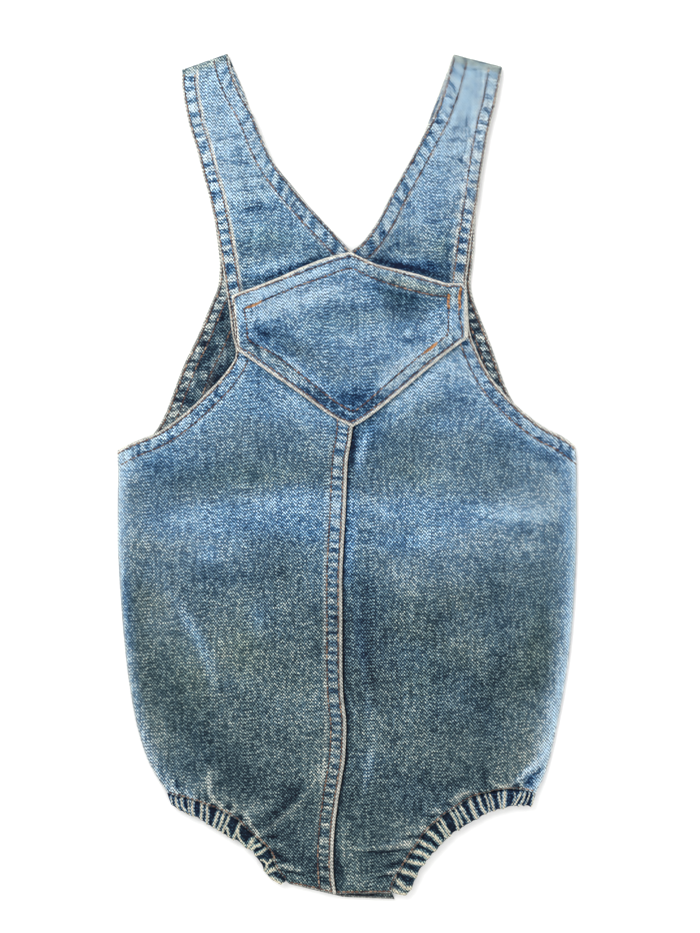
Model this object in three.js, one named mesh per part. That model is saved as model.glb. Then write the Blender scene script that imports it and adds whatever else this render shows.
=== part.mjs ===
import * as THREE from 'three';

// Baby romper in denim: a bubble dungaree laid flat, front side up.
// Millimetres. +Z up off the surface, +Y towards the straps, +X to the right
// of someone looking down at the front. The origin is the middle of the
// underside of the outline.

// ---- driving sizes ---------------------------------------------------------
const CLOTH = 1.1;          // one layer of washed denim
const GAP = 0.3;            // between neighbouring pieces
const HEM_WIDTH = 7.6;      // turned and twice-stitched edge
const SEAM_WIDTH = 7.2;     // flat-felled centre-front seam
const STEP = 0.5;           // half the width of the step beside a hem or seam
const FOLD_HEIGHT = 3.4;    // strap over its own fold, outside to outside
const FOLD_RETURN = 6.0;    // how far the front strap runs on down the back side
const BACK_BUTT = 0.3;      // from there to the back's own strap
const POCKET_CLOTH = 1.2;   // pocket, one layer
const POCKET_HEM = 0.6;     // extra at its turned edges
const CASING_HEIGHT = 3.1;  // front casing with its elastic
const CASING_BACK = 2.8;    // back casing
const CASING_FLOOR = 3.1;   // underside of the front casing
const GATHERS = 24;         // folds along one casing
const GATHER_DEPTH = 0.45;  // height of a fold over its valley
const GATHER_SCALLOP = 0.35;// in and out along the casing's free edge

const table = (columns, rows) =>
  rows.map((row) => Object.fromEntries(columns.map((name, i) => [name, row[i]])));

// Leg line (stitch line of the casing) and the casing's free edge, from the
// side seam to the crotch.
const LEG_COLUMNS = ['stitchX', 'stitchY', 'edgeX', 'edgeY'];
const LEG_LEFT = table(LEG_COLUMNS, [
  [-99.1, -173.6, -96.4, -180.9],
  [-94.5, -175.2, -91.8, -183.6],
  [-90.4, -176.1, -87.7, -185.7],
  [-85, -177.5, -82.2, -187.7],
  [-79.5, -179.7, -78.1, -190.5],
  [-74, -181.8, -74, -192.8],
  [-68.5, -183.6, -68.5, -196],
  [-63.1, -186.8, -64.5, -198.7],
  [-58.5, -190.5, -60.3, -200.5],
  [-54.4, -194.6, -56.7, -203.7],
  [-49.4, -198.7, -52.6, -205.5],
  [-44.8, -203.2, -50.3, -209.2],
  [-41.6, -207.8, -47.6, -212.8],
  [-39.8, -213.3, -44.8, -217.9],
  [-38, -216.9, -41.7, -221],
  [-33.5, -222, -36.6, -224],
]);
const LEG_RIGHT = table(LEG_COLUMNS, [
  [103.5, -173.9, 101, -181.6],
  [96.3, -172, 95.3, -180.9],
  [87.1, -171.5, 87.1, -182.1],
  [79.8, -172.7, 80.7, -183.6],
  [72.9, -174.5, 75.7, -185.7],
  [66.1, -177.3, 69.8, -189.1],
  [59.7, -181.6, 63.9, -192.8],
  [53.4, -185.7, 57.5, -196.4],
  [47.9, -190.5, 52.9, -201],
  [42.9, -195.2, 49.3, -205.1],
  [39.2, -201, 45.6, -208.7],
  [35.6, -206, 42, -213.3],
  [32, -211.9, 38.8, -218.3],
  [28.3, -217.9, 37, -222.9],
  [25.5, -222.9, 35.1, -227],
  [23.9, -228.3, 32, -230],
]);

// Front halves, one row from the outer edge to the neck or the centre seam.
// A row with no outerX meets the leg line: outerY is then the place along it.
// outerZ and innerZ are the underside's heights at both ends, crown the rise
// between them; hem and seam are the extra cloth at the outer and inner edge.
const FRONT_COLUMNS = ['outerX', 'outerY', 'innerX', 'innerY', 'outerZ', 'innerZ', 'crown', 'hem', 'seam'];
const FRONT_LEFT = table(FRONT_COLUMNS, [
  [-90.7, 222.3, -65.4, 231.3, 2.3, 2.3, 0, 0, 0],
  [-90.9, 216.9, -63.9, 224.6, 2.3, 2.3, 0.2, 0.9, 0.9],
  [-89.3, 204.8, -59.1, 211.9, 2.3, 2.3, 0.3, 0.9, 0.9],
  [-86.6, 192.1, -51.9, 198.7, 2.3, 2.3, 0.4, 0.9, 0.9],
  [-82.7, 179.5, -45.9, 183.9, 2.3, 2.3, 0.4, 0.9, 0.9],
  [-79.4, 166.3, -40.6, 172.9, 2.3, 2.3, 0.4, 0.9, 0.9],
  [-75.8, 153.1, -31.6, 160.8, 2.3, 2.3, 0.5, 0.9, 0.9],
  [-73, 140.4, -20.4, 147.6, 2.3, 2.3, 0.5, 0.9, 0.9],
  [-70.6, 127.2, -5.8, 132.2, 2.3, 2.4, 0.5, 0.9, 0.9],
  [-68.8, 116.2, 1.8, 123.8, 2.3, 2.6, 0.5, 0.9, 0.9],
  [-67, 105.2, 2.3, 110.7, 2.3, 2.9, 0.6, 0.9, 0.9],
  [-65.1, 92.6, 2.5, 94.2, 2.3, 3.2, 0.6, 0.9, 0.9],
  [-63.5, 79.4, 2.5, 77.7, 2.3, 3.4, 0.7, 0.9, 0.9],
  [-61.3, 67.5, 2.8, 62.9, 2.3, 3.6, 0.8, 0.9, 0.9],
  [-68.1, 55.7, 3.1, 50.2, 2.3, 3.9, 0.9, 0.9, 0.9],
  [-77.2, 46.1, 3.1, 39.2, 2.3, 4.2, 1.1, 0.9, 0.9],
  [-89.9, 34.3, 2.9, 28.2, 2.3, 4.5, 1.2, 0.9, 0.9],
  [-103.6, 24.6, 2, 19.4, 2.3, 4.7, 1.3, 0.9, 0.9],
  [-118.8, 18.2, 0.9, 13.4, 2.1, 4.8, 1.3, 0.9, 0.9],
  [-126.5, 14.2, 0.1, 7.9, 1.6, 4.9, 1.3, 0.5, 0.9],
  [-126.2, 1.8, -0.4, -3.1, 1.4, 5.1, 1.3, 0, 0.9],
  [-126.5, -16.3, -1, -19.6, 1.4, 5.3, 1.4, 0, 0.9],
  [-126.5, -34.8, -2.1, -37.8, 1.4, 5.6, 1.5, 0, 0.9],
  [-125.6, -55.4, -2.9, -57.6, 1.4, 5.9, 1.7, 0, 0.9],
  [-124.2, -75.7, -2.8, -77.9, 1.4, 6.2, 2, 0, 0.9],
  [-122.3, -96.6, -2.8, -98.3, 1.4, 6.4, 2.3, 0, 0.9],
  [-119.7, -117, -2.4, -117.5, 1.4, 6.5, 2.6, 0, 0.9],
  [-116, -136.8, -0.6, -136.2, 1.4, 6.3, 2.8, 0, 0.9],
  [-109.9, -156, -1.3, -153.3, 1.6, 6, 2.8, 0, 0.9],
  [-104.4, -165.9, -2.9, -164.3, 2.3, 5.6, 2.6, 0, 0.9],
  [null, 0, -3.9, -170.5, 3.1, 5.2, 2.3, 0, 0.9],
  [null, 0.13, -5.2, -178, 3.4, 5, 2.1, 0, 0.9],
  [null, 0.26, -5.8, -183, 3.4, 4.8, 1.9, 0, 0.9],
  [null, 0.38, -6.5, -187.9, 3.4, 4.6, 1.7, 0, 0.9],
  [null, 0.49, -7, -193.4, 3.4, 4.4, 1.5, 0, 0.9],
  [null, 0.6, -7.5, -200, 3.4, 4.2, 1.2, 0, 0.9],
  [null, 0.71, -7.8, -207.2, 3.4, 3.9, 1, 0, 0.9],
  [null, 0.81, -7.8, -213.2, 3.3, 3.6, 0.8, 0, 0.9],
  [null, 0.91, -7.5, -219.3, 3.2, 3.3, 0.5, 0, 0.9],
  [null, 1, -6.9, -224.2, 2.9, 2.9, 0.3, 0.3, 0.9],
  [-31.8, -224, -6.1, -229.4, 2.4, 2.4, 0.1, 0.6, 0.9],
]);
const FRONT_RIGHT = table(FRONT_COLUMNS, [
  [84.9, 223.9, 57.8, 230.8, 2.3, 2.3, 0, 0, 0],
  [83.9, 218, 55.8, 223.5, 2.3, 2.3, 0.2, 0.9, 0.9],
  [81.8, 206.4, 52.6, 211.9, 2.3, 2.3, 0.3, 0.9, 0.9],
  [78.3, 192.7, 47.6, 198.7, 2.3, 2.3, 0.4, 0.9, 0.9],
  [75.7, 178.9, 41.6, 187.2, 2.3, 2.3, 0.4, 0.9, 0.9],
  [73.6, 166.3, 34.4, 173.4, 2.3, 2.3, 0.4, 0.9, 0.9],
  [71.8, 152, 24.9, 156.6, 2.3, 2.3, 0.5, 0.9, 0.9],
  [69.4, 137.7, 16.1, 139.3, 2.3, 2.3, 0.5, 0.9, 0.9],
  [67.7, 126.1, 7.2, 127.5, 2.3, 2.4, 0.5, 0.9, 0.9],
  [66.7, 117.3, 1.8, 123.8, 2.3, 2.6, 0.5, 0.9, 0.9],
  [65.3, 106.9, 2.3, 110.7, 2.3, 2.9, 0.6, 0.9, 0],
  [66.1, 95.3, 2.5, 94.2, 2.3, 3.2, 0.6, 0.9, 0],
  [67, 81.6, 2.5, 77.7, 2.3, 3.4, 0.7, 0.9, 0],
  [71.6, 67.8, 2.8, 62.9, 2.3, 3.6, 0.8, 0.9, 0],
  [78.3, 55.4, 3.1, 50.2, 2.3, 3.9, 0.9, 0.9, 0],
  [87.8, 43.9, 3.1, 39.2, 2.3, 4.2, 1.1, 0.9, 0],
  [99.1, 33.6, 2.9, 28.2, 2.3, 4.5, 1.2, 0.9, 0],
  [109.2, 26.3, 2, 19.4, 2.3, 4.7, 1.3, 0.9, 0],
  [118, 22, 0.9, 13.4, 2.1, 4.8, 1.3, 0.9, 0],
  [125.3, 16.9, 0.1, 7.9, 1.6, 4.9, 1.3, 0.5, 0],
  [126.4, 4.6, -0.4, -3.1, 1.4, 5.1, 1.3, 0, 0],
  [126.5, -15.2, -1, -19.6, 1.4, 5.3, 1.4, 0, 0],
  [126.3, -37.8, -2.1, -37.8, 1.4, 5.6, 1.5, 0, 0],
  [125.5, -57, -2.9, -57.6, 1.4, 5.9, 1.7, 0, 0],
  [124.2, -77.4, -2.8, -77.9, 1.4, 6.2, 2, 0, 0],
  [122.2, -97.7, -2.8, -98.3, 1.4, 6.4, 2.3, 0, 0],
  [119.3, -117.5, -2.4, -117.5, 1.4, 6.5, 2.6, 0, 0],
  [115.4, -137.9, -0.6, -136.2, 1.4, 6.3, 2.8, 0, 0],
  [111.2, -156, -1.3, -153.3, 1.6, 6, 2.8, 0, 0],
  [107.6, -166.5, -2.9, -164.3, 2.3, 5.6, 2.6, 0, 0],
  [null, 0, -3.9, -170.5, 3.1, 5.2, 2.3, 0, 0],
  [null, 0.12, -5.2, -178, 3.4, 5, 2.1, 0, 0],
  [null, 0.24, -5.8, -183, 3.4, 4.8, 1.9, 0, 0],
  [null, 0.36, -6.5, -187.9, 3.4, 4.6, 1.7, 0, 0],
  [null, 0.48, -7, -193.4, 3.4, 4.4, 1.5, 0, 0],
  [null, 0.59, -7.5, -200, 3.4, 4.2, 1.2, 0, 0],
  [null, 0.7, -7.8, -207.2, 3.4, 3.9, 1, 0, 0],
  [null, 0.8, -7.8, -213.2, 3.3, 3.6, 0.8, 0, 0],
  [null, 0.9, -7.5, -219.3, 3.2, 3.3, 0.5, 0, 0],
  [null, 1, -6.9, -224.2, 2.9, 2.9, 0.3, 0.3, 0],
  [24, -229, -6.1, -229.4, 2.4, 2.4, 0.1, 0.6, 0],
]);

// Back, one row from each outer edge to the neck or the middle.
const BACK_COLUMNS = ['outerX', 'outerY', 'innerX', 'innerY', 'hem'];
const BACK_LEFT = table(BACK_COLUMNS, [
  [-88.1, 216.5, -62.8, 225.6, 0.9],
  [-86.6, 204.8, -57.4, 213, 0.9],
  [-84.4, 192.1, -53, 200.4, 0.9],
  [-81.3, 179.5, -47, 185, 0.9],
  [-78.3, 166.3, -39.8, 171.8, 0.9],
  [-75, 153.1, -29.4, 159.1, 0.9],
  [-73.1, 140.4, -18.9, 145.9, 0.9],
  [-71.4, 127.2, -7.9, 131.1, 0.9],
  [-70.3, 116.2, 1.4, 117.9, 0.9],
  [-71.2, 105.2, 1.4, 105.2, 0.9],
  [-75, 95.3, 1.4, 94.2, 0.9],
  [-78.6, 86.5, 1.4, 83.2, 0.9],
  [-82.2, 77.7, 1.4, 72.2, 0.9],
  [-89.9, 61.8, 1.4, 57.4, 0.9],
  [-95.9, 46.1, 1.4, 43.1, 0.9],
  [-100.9, 33.2, 0.9, 31, 0.9],
  [-108.6, 21.6, 0.3, 20, 0.8],
  [-117.4, 16.7, -0.2, 13.4, 0.5],
  [-126.4, 13.6, -0.5, 7.9, 0],
  [-126.2, 1.8, -0.8, -3.1, 0],
  [-126.4, -16.3, -1, -19.6, 0],
  [-126.4, -34.8, -1.9, -37.8, 0],
  [-125.5, -55.4, -2.4, -57.6, 0],
  [-124.1, -75.7, -2.4, -77.9, 0],
  [-122.2, -96.6, -2.4, -98.3, 0],
  [-119.6, -117, -2.4, -117.5, 0],
  [-115.9, -136.8, -1.3, -136.2, 0],
  [-109.8, -156, -1.3, -153.3, 0],
  [-104.3, -165.9, -2.4, -164.3, 0],
  [null, 0, -3.2, -170.5, 0],
  [null, 0.18, -4.1, -181.3, 0],
  [null, 0.36, -4.3, -190.1, 0],
  [null, 0.54, -4.6, -198.9, 0],
  [null, 0.7, -4.6, -207.7, 0],
  [null, 0.85, -4.3, -216, 0],
  [null, 1, -3.8, -223.7, 0.3],
  [-31.8, -224.6, -2.4, -231.7, 0.8],
]);
const BACK_RIGHT = table(BACK_COLUMNS, [
  [83.1, 217.8, 55.8, 224.8, 0.9],
  [80.9, 204.8, 51.5, 213.6, 0.9],
  [77.6, 192.1, 47.1, 202, 0.9],
  [75, 179.5, 42.7, 189.9, 0.9],
  [72.9, 166.3, 33.9, 171.2, 0.9],
  [71.1, 152, 25.6, 156.9, 0.9],
  [70.5, 137.7, 16.8, 139.9, 0.9],
  [69.9, 126.1, 9.7, 128.3, 0.9],
  [68.8, 115.7, 1.4, 117.9, 0.9],
  [67.8, 105.8, 1.4, 105.2, 0.9],
  [69.4, 97.5, 1.4, 94.2, 0.9],
  [73.2, 87.1, 1.4, 83.2, 0.9],
  [76.8, 78.3, 1.4, 72.2, 0.9],
  [82.3, 62.9, 1.4, 57.4, 0.9],
  [87.5, 48.6, 1.4, 43.1, 0.9],
  [93.8, 37.3, 0.9, 31, 0.9],
  [104, 27.7, 0.3, 20, 0.8],
  [114.7, 20.5, -0.2, 13.4, 0.5],
  [125.3, 16.2, -0.5, 7.9, 0],
  [126.3, 1.8, -0.8, -3.1, 0],
  [126.4, -16.3, -1, -19.6, 0],
  [126.2, -35, -1.9, -37.8, 0],
  [125.3, -55.9, -2.4, -57.6, 0],
  [124.1, -76.3, -2.4, -77.9, 0],
  [122, -96.6, -2.4, -98.3, 0],
  [119.3, -117, -2.4, -117.5, 0],
  [115.4, -136.8, -1.3, -136.2, 0],
  [111, -156, -1.3, -153.3, 0],
  [107.7, -165.9, -2.4, -164.3, 0],
  [null, 0, -3.2, -170.5, 0],
  [null, 0.18, -4.1, -181.3, 0],
  [null, 0.36, -4.3, -190.1, 0],
  [null, 0.54, -4.6, -198.9, 0],
  [null, 0.7, -4.6, -207.7, 0],
  [null, 0.85, -4.3, -216, 0],
  [null, 1, -3.8, -223.7, 0.3],
  [25.9, -232.9, -2.4, -231.7, 0.8],
]);

// Patch pocket: its chevron mouth above and its point below, left to right.
const POCKET = table(['topX', 'topY', 'lowX', 'lowY'], [
  [-63.5, 99.2, -60.6, 69.2],
  [-55.8, 102, -54.1, 64.7],
  [-47.5, 105.1, -46.7, 59.6],
  [-37.1, 109.3, -36.5, 52.5],
  [-26.1, 114.2, -25.5, 44.8],
  [-12.3, 119.5, -11.2, 34.5],
  [1.8, 122.9, 2.6, 26.8],
  [9.7, 119, 10.2, 31.2],
  [16.8, 115.9, 16.8, 36.2],
  [28.9, 113.1, 28.9, 46],
  [41, 110, 41, 56.2],
  [54.2, 105.8, 54.2, 67.2],
  [61.4, 105.9, 61.4, 72.5],
  [65.2, 104.1, 66.2, 76.1],
]);

// Largest folds of the laid-down front: a ridge (or trough) from a to b, with
// its half-width and its rise at the middle.
const FOLDS = table(['ax', 'ay', 'bx', 'by', 'half', 'rise'], [
  [-48, -194, -13, -160, 7, 1.3],   // out of the left leg line to the seam
  [3, -204, 38, -199, 6, 1.2],      // out of the right leg line to the seam
  [114, -148, 90, -169, 7, 1.3],    // right side, down to the casing
  [104, -158, 92, -170, 5, -0.9],   // the hollow under it
  [-97, -62, -67, -118, 12, 0.9],   // long soft wave on the left
  [10, -60, 8, -150, 9, -0.9],      // hollow beside the centre seam
  [-75, -160, -71, -178, 5, 0.8],   // short ridge above the left casing
]);

// Which way each strap runs behind its shoulder fold.
const STRAP_LEFT = { returnX: 0.42, returnY: -0.907 };
const STRAP_RIGHT = { returnX: -0.3, returnY: -0.954 };

// ---- helpers ---------------------------------------------------------------
const mix = (a, b, t) => a + (b - a) * t;
const smooth = (a, b, x) => {
  const t = Math.min(1, Math.max(0, (x - a) / (b - a)));
  return t * t * (3 - 2 * t);
};

// A point of a table's curve, t from 0 to 1 along its rows (Catmull-Rom).
function along(rows, xKey, yKey, t) {
  const s = Math.min(Math.max(t, 0), 1) * (rows.length - 1);
  const i = Math.min(Math.floor(s), rows.length - 2);
  const f = s - i;
  const pick = (k) => {
    const a = rows[Math.max(i - 1, 0)][k], b = rows[i][k];
    const c = rows[i + 1][k], d = rows[Math.min(i + 2, rows.length - 1)][k];
    return 0.5 * (2 * b + (c - a) * f + (2 * a - 5 * b + 4 * c - d) * f * f + (3 * b - a - 3 * c + d) * f ** 3);
  };
  return { x: pick(xKey), y: pick(yKey) };
}

// Rows beside the leg line bow with it, so none of them crosses it. past is the
// number of rows from the corner of the side seam, d the distance from the edge.
function aboveLeg(leg, x, y, past, d) {
  if (past <= -2 || past >= 2) return y;
  const points = leg.map((p) => [p.stitchX, p.stitchY]).sort((a, b) => a[0] - b[0]);
  const i = points.findIndex((p, k) => k > 0 && x <= p[0]);
  if (i < 0 || x < points[0][0]) return y;
  const [a, b] = [points[i - 1], points[i]];
  const legY = mix(a[1], b[1], (x - a[0]) / (b[0] - a[0]));
  return Math.max(y, legY + 0.8 * (2 - past) * smooth(0, 6, d));
}

function foldRise(x, y) {
  let z = 0;
  for (const f of FOLDS) {
    const dx = f.bx - f.ax, dy = f.by - f.ay, len2 = dx * dx + dy * dy;
    const t = Math.min(1, Math.max(0, ((x - f.ax) * dx + (y - f.ay) * dy) / len2));
    const off = Math.hypot(x - f.ax - t * dx, y - f.ay - t * dy) / f.half;
    z += f.rise * Math.exp(-off * off) * (0.35 + 0.65 * Math.sin(Math.PI * (0.1 + 0.8 * t)));
  }
  return z;
}

// A closed wall between an outer skin and an inner skin of the same faces.
function wall(outer, inner, faces) {
  const n = outer.length, index = [], seen = new Map();
  for (const [a, b, c] of faces) {
    index.push(a, b, c, n + a, n + c, n + b);
    for (const [p, q] of [[a, b], [b, c], [c, a]]) seen.set(`${p}_${q}`, [p, q]);
  }
  for (const [p, q] of seen.values()) {
    if (seen.has(`${q}_${p}`)) continue;
    index.push(p, n + p, n + q, p, n + q, q);
  }
  const geometry = new THREE.BufferGeometry();
  geometry.setAttribute('position', new THREE.Float32BufferAttribute(
    [...outer, ...inner].flatMap((v) => [v.x, v.y, v.z]), 3));
  geometry.setIndex(index);
  geometry.computeVertexNormals();
  return geometry;
}

// Faces of a grid of rows and columns; turned over on the right half.
function gridFaces(rowCount, columnCount, turned, id = (r, c) => r * columnCount + c) {
  const faces = [];
  for (let r = 0; r < rowCount - 1; r++) {
    for (let c = 0; c < columnCount - 1; c++) {
      const a = id(r, c), b = id(r + 1, c), d = id(r + 1, c + 1), e = id(r, c + 1);
      for (const [p, q, s] of (r + c) % 2 ? [[a, b, e], [b, d, e]] : [[a, b, d], [a, d, e]]) {
        faces.push(turned ? [p, s, q] : [p, q, s]);
      }
    }
  }
  return faces;
}

// Places across a row, as distances from its outer edge: hem, cloth, hem.
function acrossRow(width, hem, seam, middles) {
  const h = Math.min(hem, width * 0.3), s = Math.min(seam, width * 0.3);
  const from = h + STEP, to = width - s - STEP;
  const mid = Array.from({ length: middles }, (_, i) => mix(from, to, (i + 1) / (middles + 1)));
  return [0, h - STEP, from, ...mid, to, width - s + STEP, width];
}

const isHem = (d, width, band) => d <= Math.min(band, width * 0.3) - STEP + 1e-6;

// ---- front halves ----------------------------------------------------------
function frontHalf(rows, leg, strap, turned, shift) {
  const middles = 5;
  const outer = [], inner = [];
  const vBottom = 9;  // row at the point of the V neck
  const sections = rows.map((row, i) => {
    const edge = row.outerX === null ? along(leg, 'stitchX', 'stitchY', row.outerY)
      : { x: row.outerX, y: row.outerY };
    return { ...row, edge, end: { x: row.innerX + (i >= vBottom ? shift : 0), y: row.innerY } };
  });
  const corner = rows.findIndex((row) => row.outerX === null);
  const place = (s) => {
    const width = Math.hypot(s.end.x - s.edge.x, s.end.y - s.edge.y);
    return acrossRow(width, HEM_WIDTH, SEAM_WIDTH, middles).map((d) => {
      const u = d / width, x = mix(s.edge.x, s.end.x, u);
      return { u, d, width, x, y: aboveLeg(leg, x, mix(s.edge.y, s.end.y, u), sections.indexOf(s) - corner, d) };
    });
  };
  // the strap's return behind its fold, and the fold itself
  const radius = FOLD_HEIGHT / 2;
  const first = sections[0];
  const across = new THREE.Vector2(first.end.x - first.edge.x, first.end.y - first.edge.y).normalize();
  const up = turned ? new THREE.Vector2(across.y, -across.x) : new THREE.Vector2(-across.y, across.x);
  const curl = [[1, FOLD_RETURN], [1, 0], [0.78, 0], [0.5, 0], [0.22, 0]];
  for (const [turn, run] of curl) {
    const angle = Math.PI * turn;
    for (const p of place(first)) {
      for (const [list, r] of [[outer, radius], [inner, radius - CLOTH]]) {
        list.push(new THREE.Vector3(
          p.x + up.x * r * Math.sin(angle) + strap.returnX * run,
          p.y + up.y * r * Math.sin(angle) + strap.returnY * run,
          radius + r * Math.cos(angle)));
      }
    }
  }
  sections.forEach((s, i) => {
    for (const p of place(s)) {
      const rise = mix(s.outerZ, s.innerZ, smooth(0, 1, Math.sqrt(p.u))) + s.crown * Math.sin(Math.PI * p.u);
      const low = Math.max(rise + (i > 12 ? foldRise(p.x, p.y) * smooth(0, 0.12, p.u) : 0), Math.min(s.outerZ, s.innerZ));
      let thick = CLOTH;
      if (isHem(p.d, p.width, HEM_WIDTH)) thick += s.hem;
      if (isHem(p.width - p.d, p.width, SEAM_WIDTH)) thick += s.seam;
      inner.push(new THREE.Vector3(p.x, p.y, low));
      outer.push(new THREE.Vector3(p.x, p.y, low + thick));
    }
  });
  const faces = gridFaces(curl.length + sections.length, middles + 6, turned);
  return { outer, inner, faces };
}

// ---- back --------------------------------------------------------------------
function backPanel() {
  const middles = 2, places = new Map(), outer = [], inner = [], faces = [];
  const keep = (x, y, top) => {
    const key = `${x.toFixed(3)},${y.toFixed(3)}`;
    if (!places.has(key)) {
      places.set(key, outer.length);
      outer.push(new THREE.Vector3(x, y, top));
      inner.push(new THREE.Vector3(x, y, 0));
    }
    return places.get(key);
  };
  const vBottom = 8;
  for (const [rows, leg, turned] of [[BACK_LEFT, LEG_LEFT, false], [BACK_RIGHT, LEG_RIGHT, true]]) {
    const corner = rows.findIndex((row) => row.outerX === null);
    const ids = rows.map((row, i) => {
      const edge = row.outerX === null ? along(leg, 'stitchX', 'stitchY', row.outerY)
        : { x: row.outerX, y: row.outerY };
      const width = Math.hypot(row.innerX - edge.x, row.innerY - edge.y);
      return acrossRow(width, HEM_WIDTH, HEM_WIDTH, middles).map((d) => {
        const neck = i < vBottom && isHem(width - d, width, HEM_WIDTH) ? row.hem : 0;
        const side = isHem(d, width, HEM_WIDTH) || i === rows.length - 1 ? row.hem : 0;
        const u = d / width, x = mix(edge.x, row.innerX, u);
        const y = aboveLeg(leg, x, mix(edge.y, row.innerY, u), i - corner, d);
        return keep(x, y, CLOTH + Math.max(neck, side));
      });
    });
    faces.push(...gridFaces(rows.length, middles + 6, turned, (r, c) => ids[r][c]));
  }
  return wall(outer, inner, faces);
}

// ---- pocket ------------------------------------------------------------------
// Height of the fronts' upper skin under a point, the highest within a reach.
function liftOver(skins, x, y, reach) {
  let top = -Infinity;
  const spots = [[x, y]];
  for (let i = 0; i < 12; i++) {
    const angle = Math.PI * i / 6, r = i % 2 ? reach : reach * 0.5;
    spots.push([x + r * Math.cos(angle), y + r * Math.sin(angle)]);
  }
  for (const { outer } of skins) {
    for (const v of outer) if (Math.hypot(v.x - x, v.y - y) < reach * 1.5) top = Math.max(top, v.z);
  }
  for (const [px, py] of spots) {
    for (const { outer, faces } of skins) {
      for (const [i, j, k] of faces) {
        const a = outer[i], b = outer[j], c = outer[k];
        const area = (b.x - a.x) * (c.y - a.y) - (b.y - a.y) * (c.x - a.x);
        if (Math.abs(area) < 1e-6) continue;
        const w1 = ((px - a.x) * (c.y - a.y) - (py - a.y) * (c.x - a.x)) / area;
        const w2 = ((b.x - a.x) * (py - a.y) - (b.y - a.y) * (px - a.x)) / area;
        if (w1 < -0.001 || w2 < -0.001 || w1 + w2 > 1.001) continue;
        top = Math.max(top, a.z + w1 * (b.z - a.z) + w2 * (c.z - a.z));
      }
    }
  }
  return top;
}

function pocketPatch(skins) {
  const downs = [0, 0.045, 0.06, 0.25, 0.5, 0.75, 0.94, 0.955, 1], outer = [], inner = [];
  const last = POCKET.length - 1;
  for (const down of downs) {
    POCKET.forEach((p, i) => {
      const x = mix(p.topX, p.lowX, down), y = mix(p.topY, p.lowY, down);
      const hem = down < 0.05 || down > 0.95 || i === 0 || i === last ? POCKET_HEM : 0;
      const low = liftOver(skins, x, y, 5) + GAP + 0.2;
      inner.push(new THREE.Vector3(x, y, low));
      outer.push(new THREE.Vector3(x, y, low + POCKET_CLOTH + hem));
    });
  }
  return wall(outer, inner, gridFaces(downs.length, POCKET.length, false));
}

// ---- casings -------------------------------------------------------------------
// A point of a panel's own leg edge, straight between the panel's rows.
function panelEdge(leg, rows, t) {
  const stops = rows.filter((row) => row.outerX === null).map((row) => row.outerY);
  const i = Math.min(Math.max(stops.findIndex((s) => s >= t), 1), stops.length - 1);
  const a = along(leg, 'stitchX', 'stitchY', stops[i - 1]), b = along(leg, 'stitchX', 'stitchY', stops[i]);
  const f = (t - stops[i - 1]) / (stops[i] - stops[i - 1]);
  return { x: mix(a.x, b.x, f), y: mix(a.y, b.y, f) };
}

function casing(leg, rows, turned, floor, height, gathers) {
  const columns = [[0, 0.62], [0.3, 1], [0.7, 1], [1, 0.45]];  // across: place, share of the height
  const stations = gathers * 2 + 1, outer = [], inner = [];
  const clear = GAP + (gathers === GATHERS ? 0.1 : 0.3);  // fewer stations cut its corners more
  for (let i = 0; i < stations; i++) {
    const t = i / (stations - 1);
    const a = panelEdge(leg, rows, t), b = along(leg, 'edgeX', 'edgeY', t);
    const width = Math.hypot(b.x - a.x, b.y - a.y), ridge = i % 2 ? 1 : -1;
    const end = 1 - 0.25 * smooth(0.9, 1, t) - 0.25 * (1 - smooth(0, 0.08, t));
    columns.forEach(([v, share], c) => {
      const reach = mix(clear, width + (c === columns.length - 1 ? ridge * GATHER_SCALLOP - 0.2 : 0), v);
      const x = a.x + (b.x - a.x) / width * reach, y = a.y + (b.y - a.y) / width * reach;
      inner.push(new THREE.Vector3(x, y, floor));
      outer.push(new THREE.Vector3(x, y, floor + height * share * end + (gathers === GATHERS ? ridge * GATHER_DEPTH * share : 0)));
    });
  }
  return wall(outer, inner, gridFaces(stations, columns.length, !turned));
}

// ---- the garment -----------------------------------------------------------------
const denim = (color) => new THREE.MeshStandardMaterial({ color, roughness: 0.92, metalness: 0 });
const romper = new THREE.Group();
const add = (name, geometry, color) => {
  const mesh = new THREE.Mesh(geometry, denim(color));
  mesh.name = name;
  romper.add(mesh);
};

const left = frontHalf(FRONT_LEFT, LEG_LEFT, STRAP_LEFT, false, 0);
const right = frontHalf(FRONT_RIGHT, LEG_RIGHT, STRAP_RIGHT, true, GAP);
add('front_left', wall(left.outer, left.inner, left.faces), 0x5a7890);
add('front_right', wall(right.outer, right.inner, right.faces), 0x5c7a93);
add('back', backPanel(), 0x4a6480);
add('chest_pocket', pocketPatch([left, right]), 0x5f82a6);
add('leg_casing_front_left', casing(LEG_LEFT, FRONT_LEFT, false, CASING_FLOOR, CASING_HEIGHT, GATHERS), 0x6b7c8a);
add('leg_casing_front_right', casing(LEG_RIGHT, FRONT_RIGHT, true, CASING_FLOOR, CASING_HEIGHT, GATHERS), 0x6b7c8a);
add('leg_casing_back_left', casing(LEG_LEFT, BACK_LEFT, false, 0, CASING_BACK, GATHERS / 2), 0x55687c);
add('leg_casing_back_right', casing(LEG_RIGHT, BACK_RIGHT, true, 0, CASING_BACK, GATHERS / 2), 0x55687c);

export default romper;
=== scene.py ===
import math

import bpy
import numpy as np
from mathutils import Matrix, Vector
from mathutils.bvhtree import BVHTree


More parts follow.
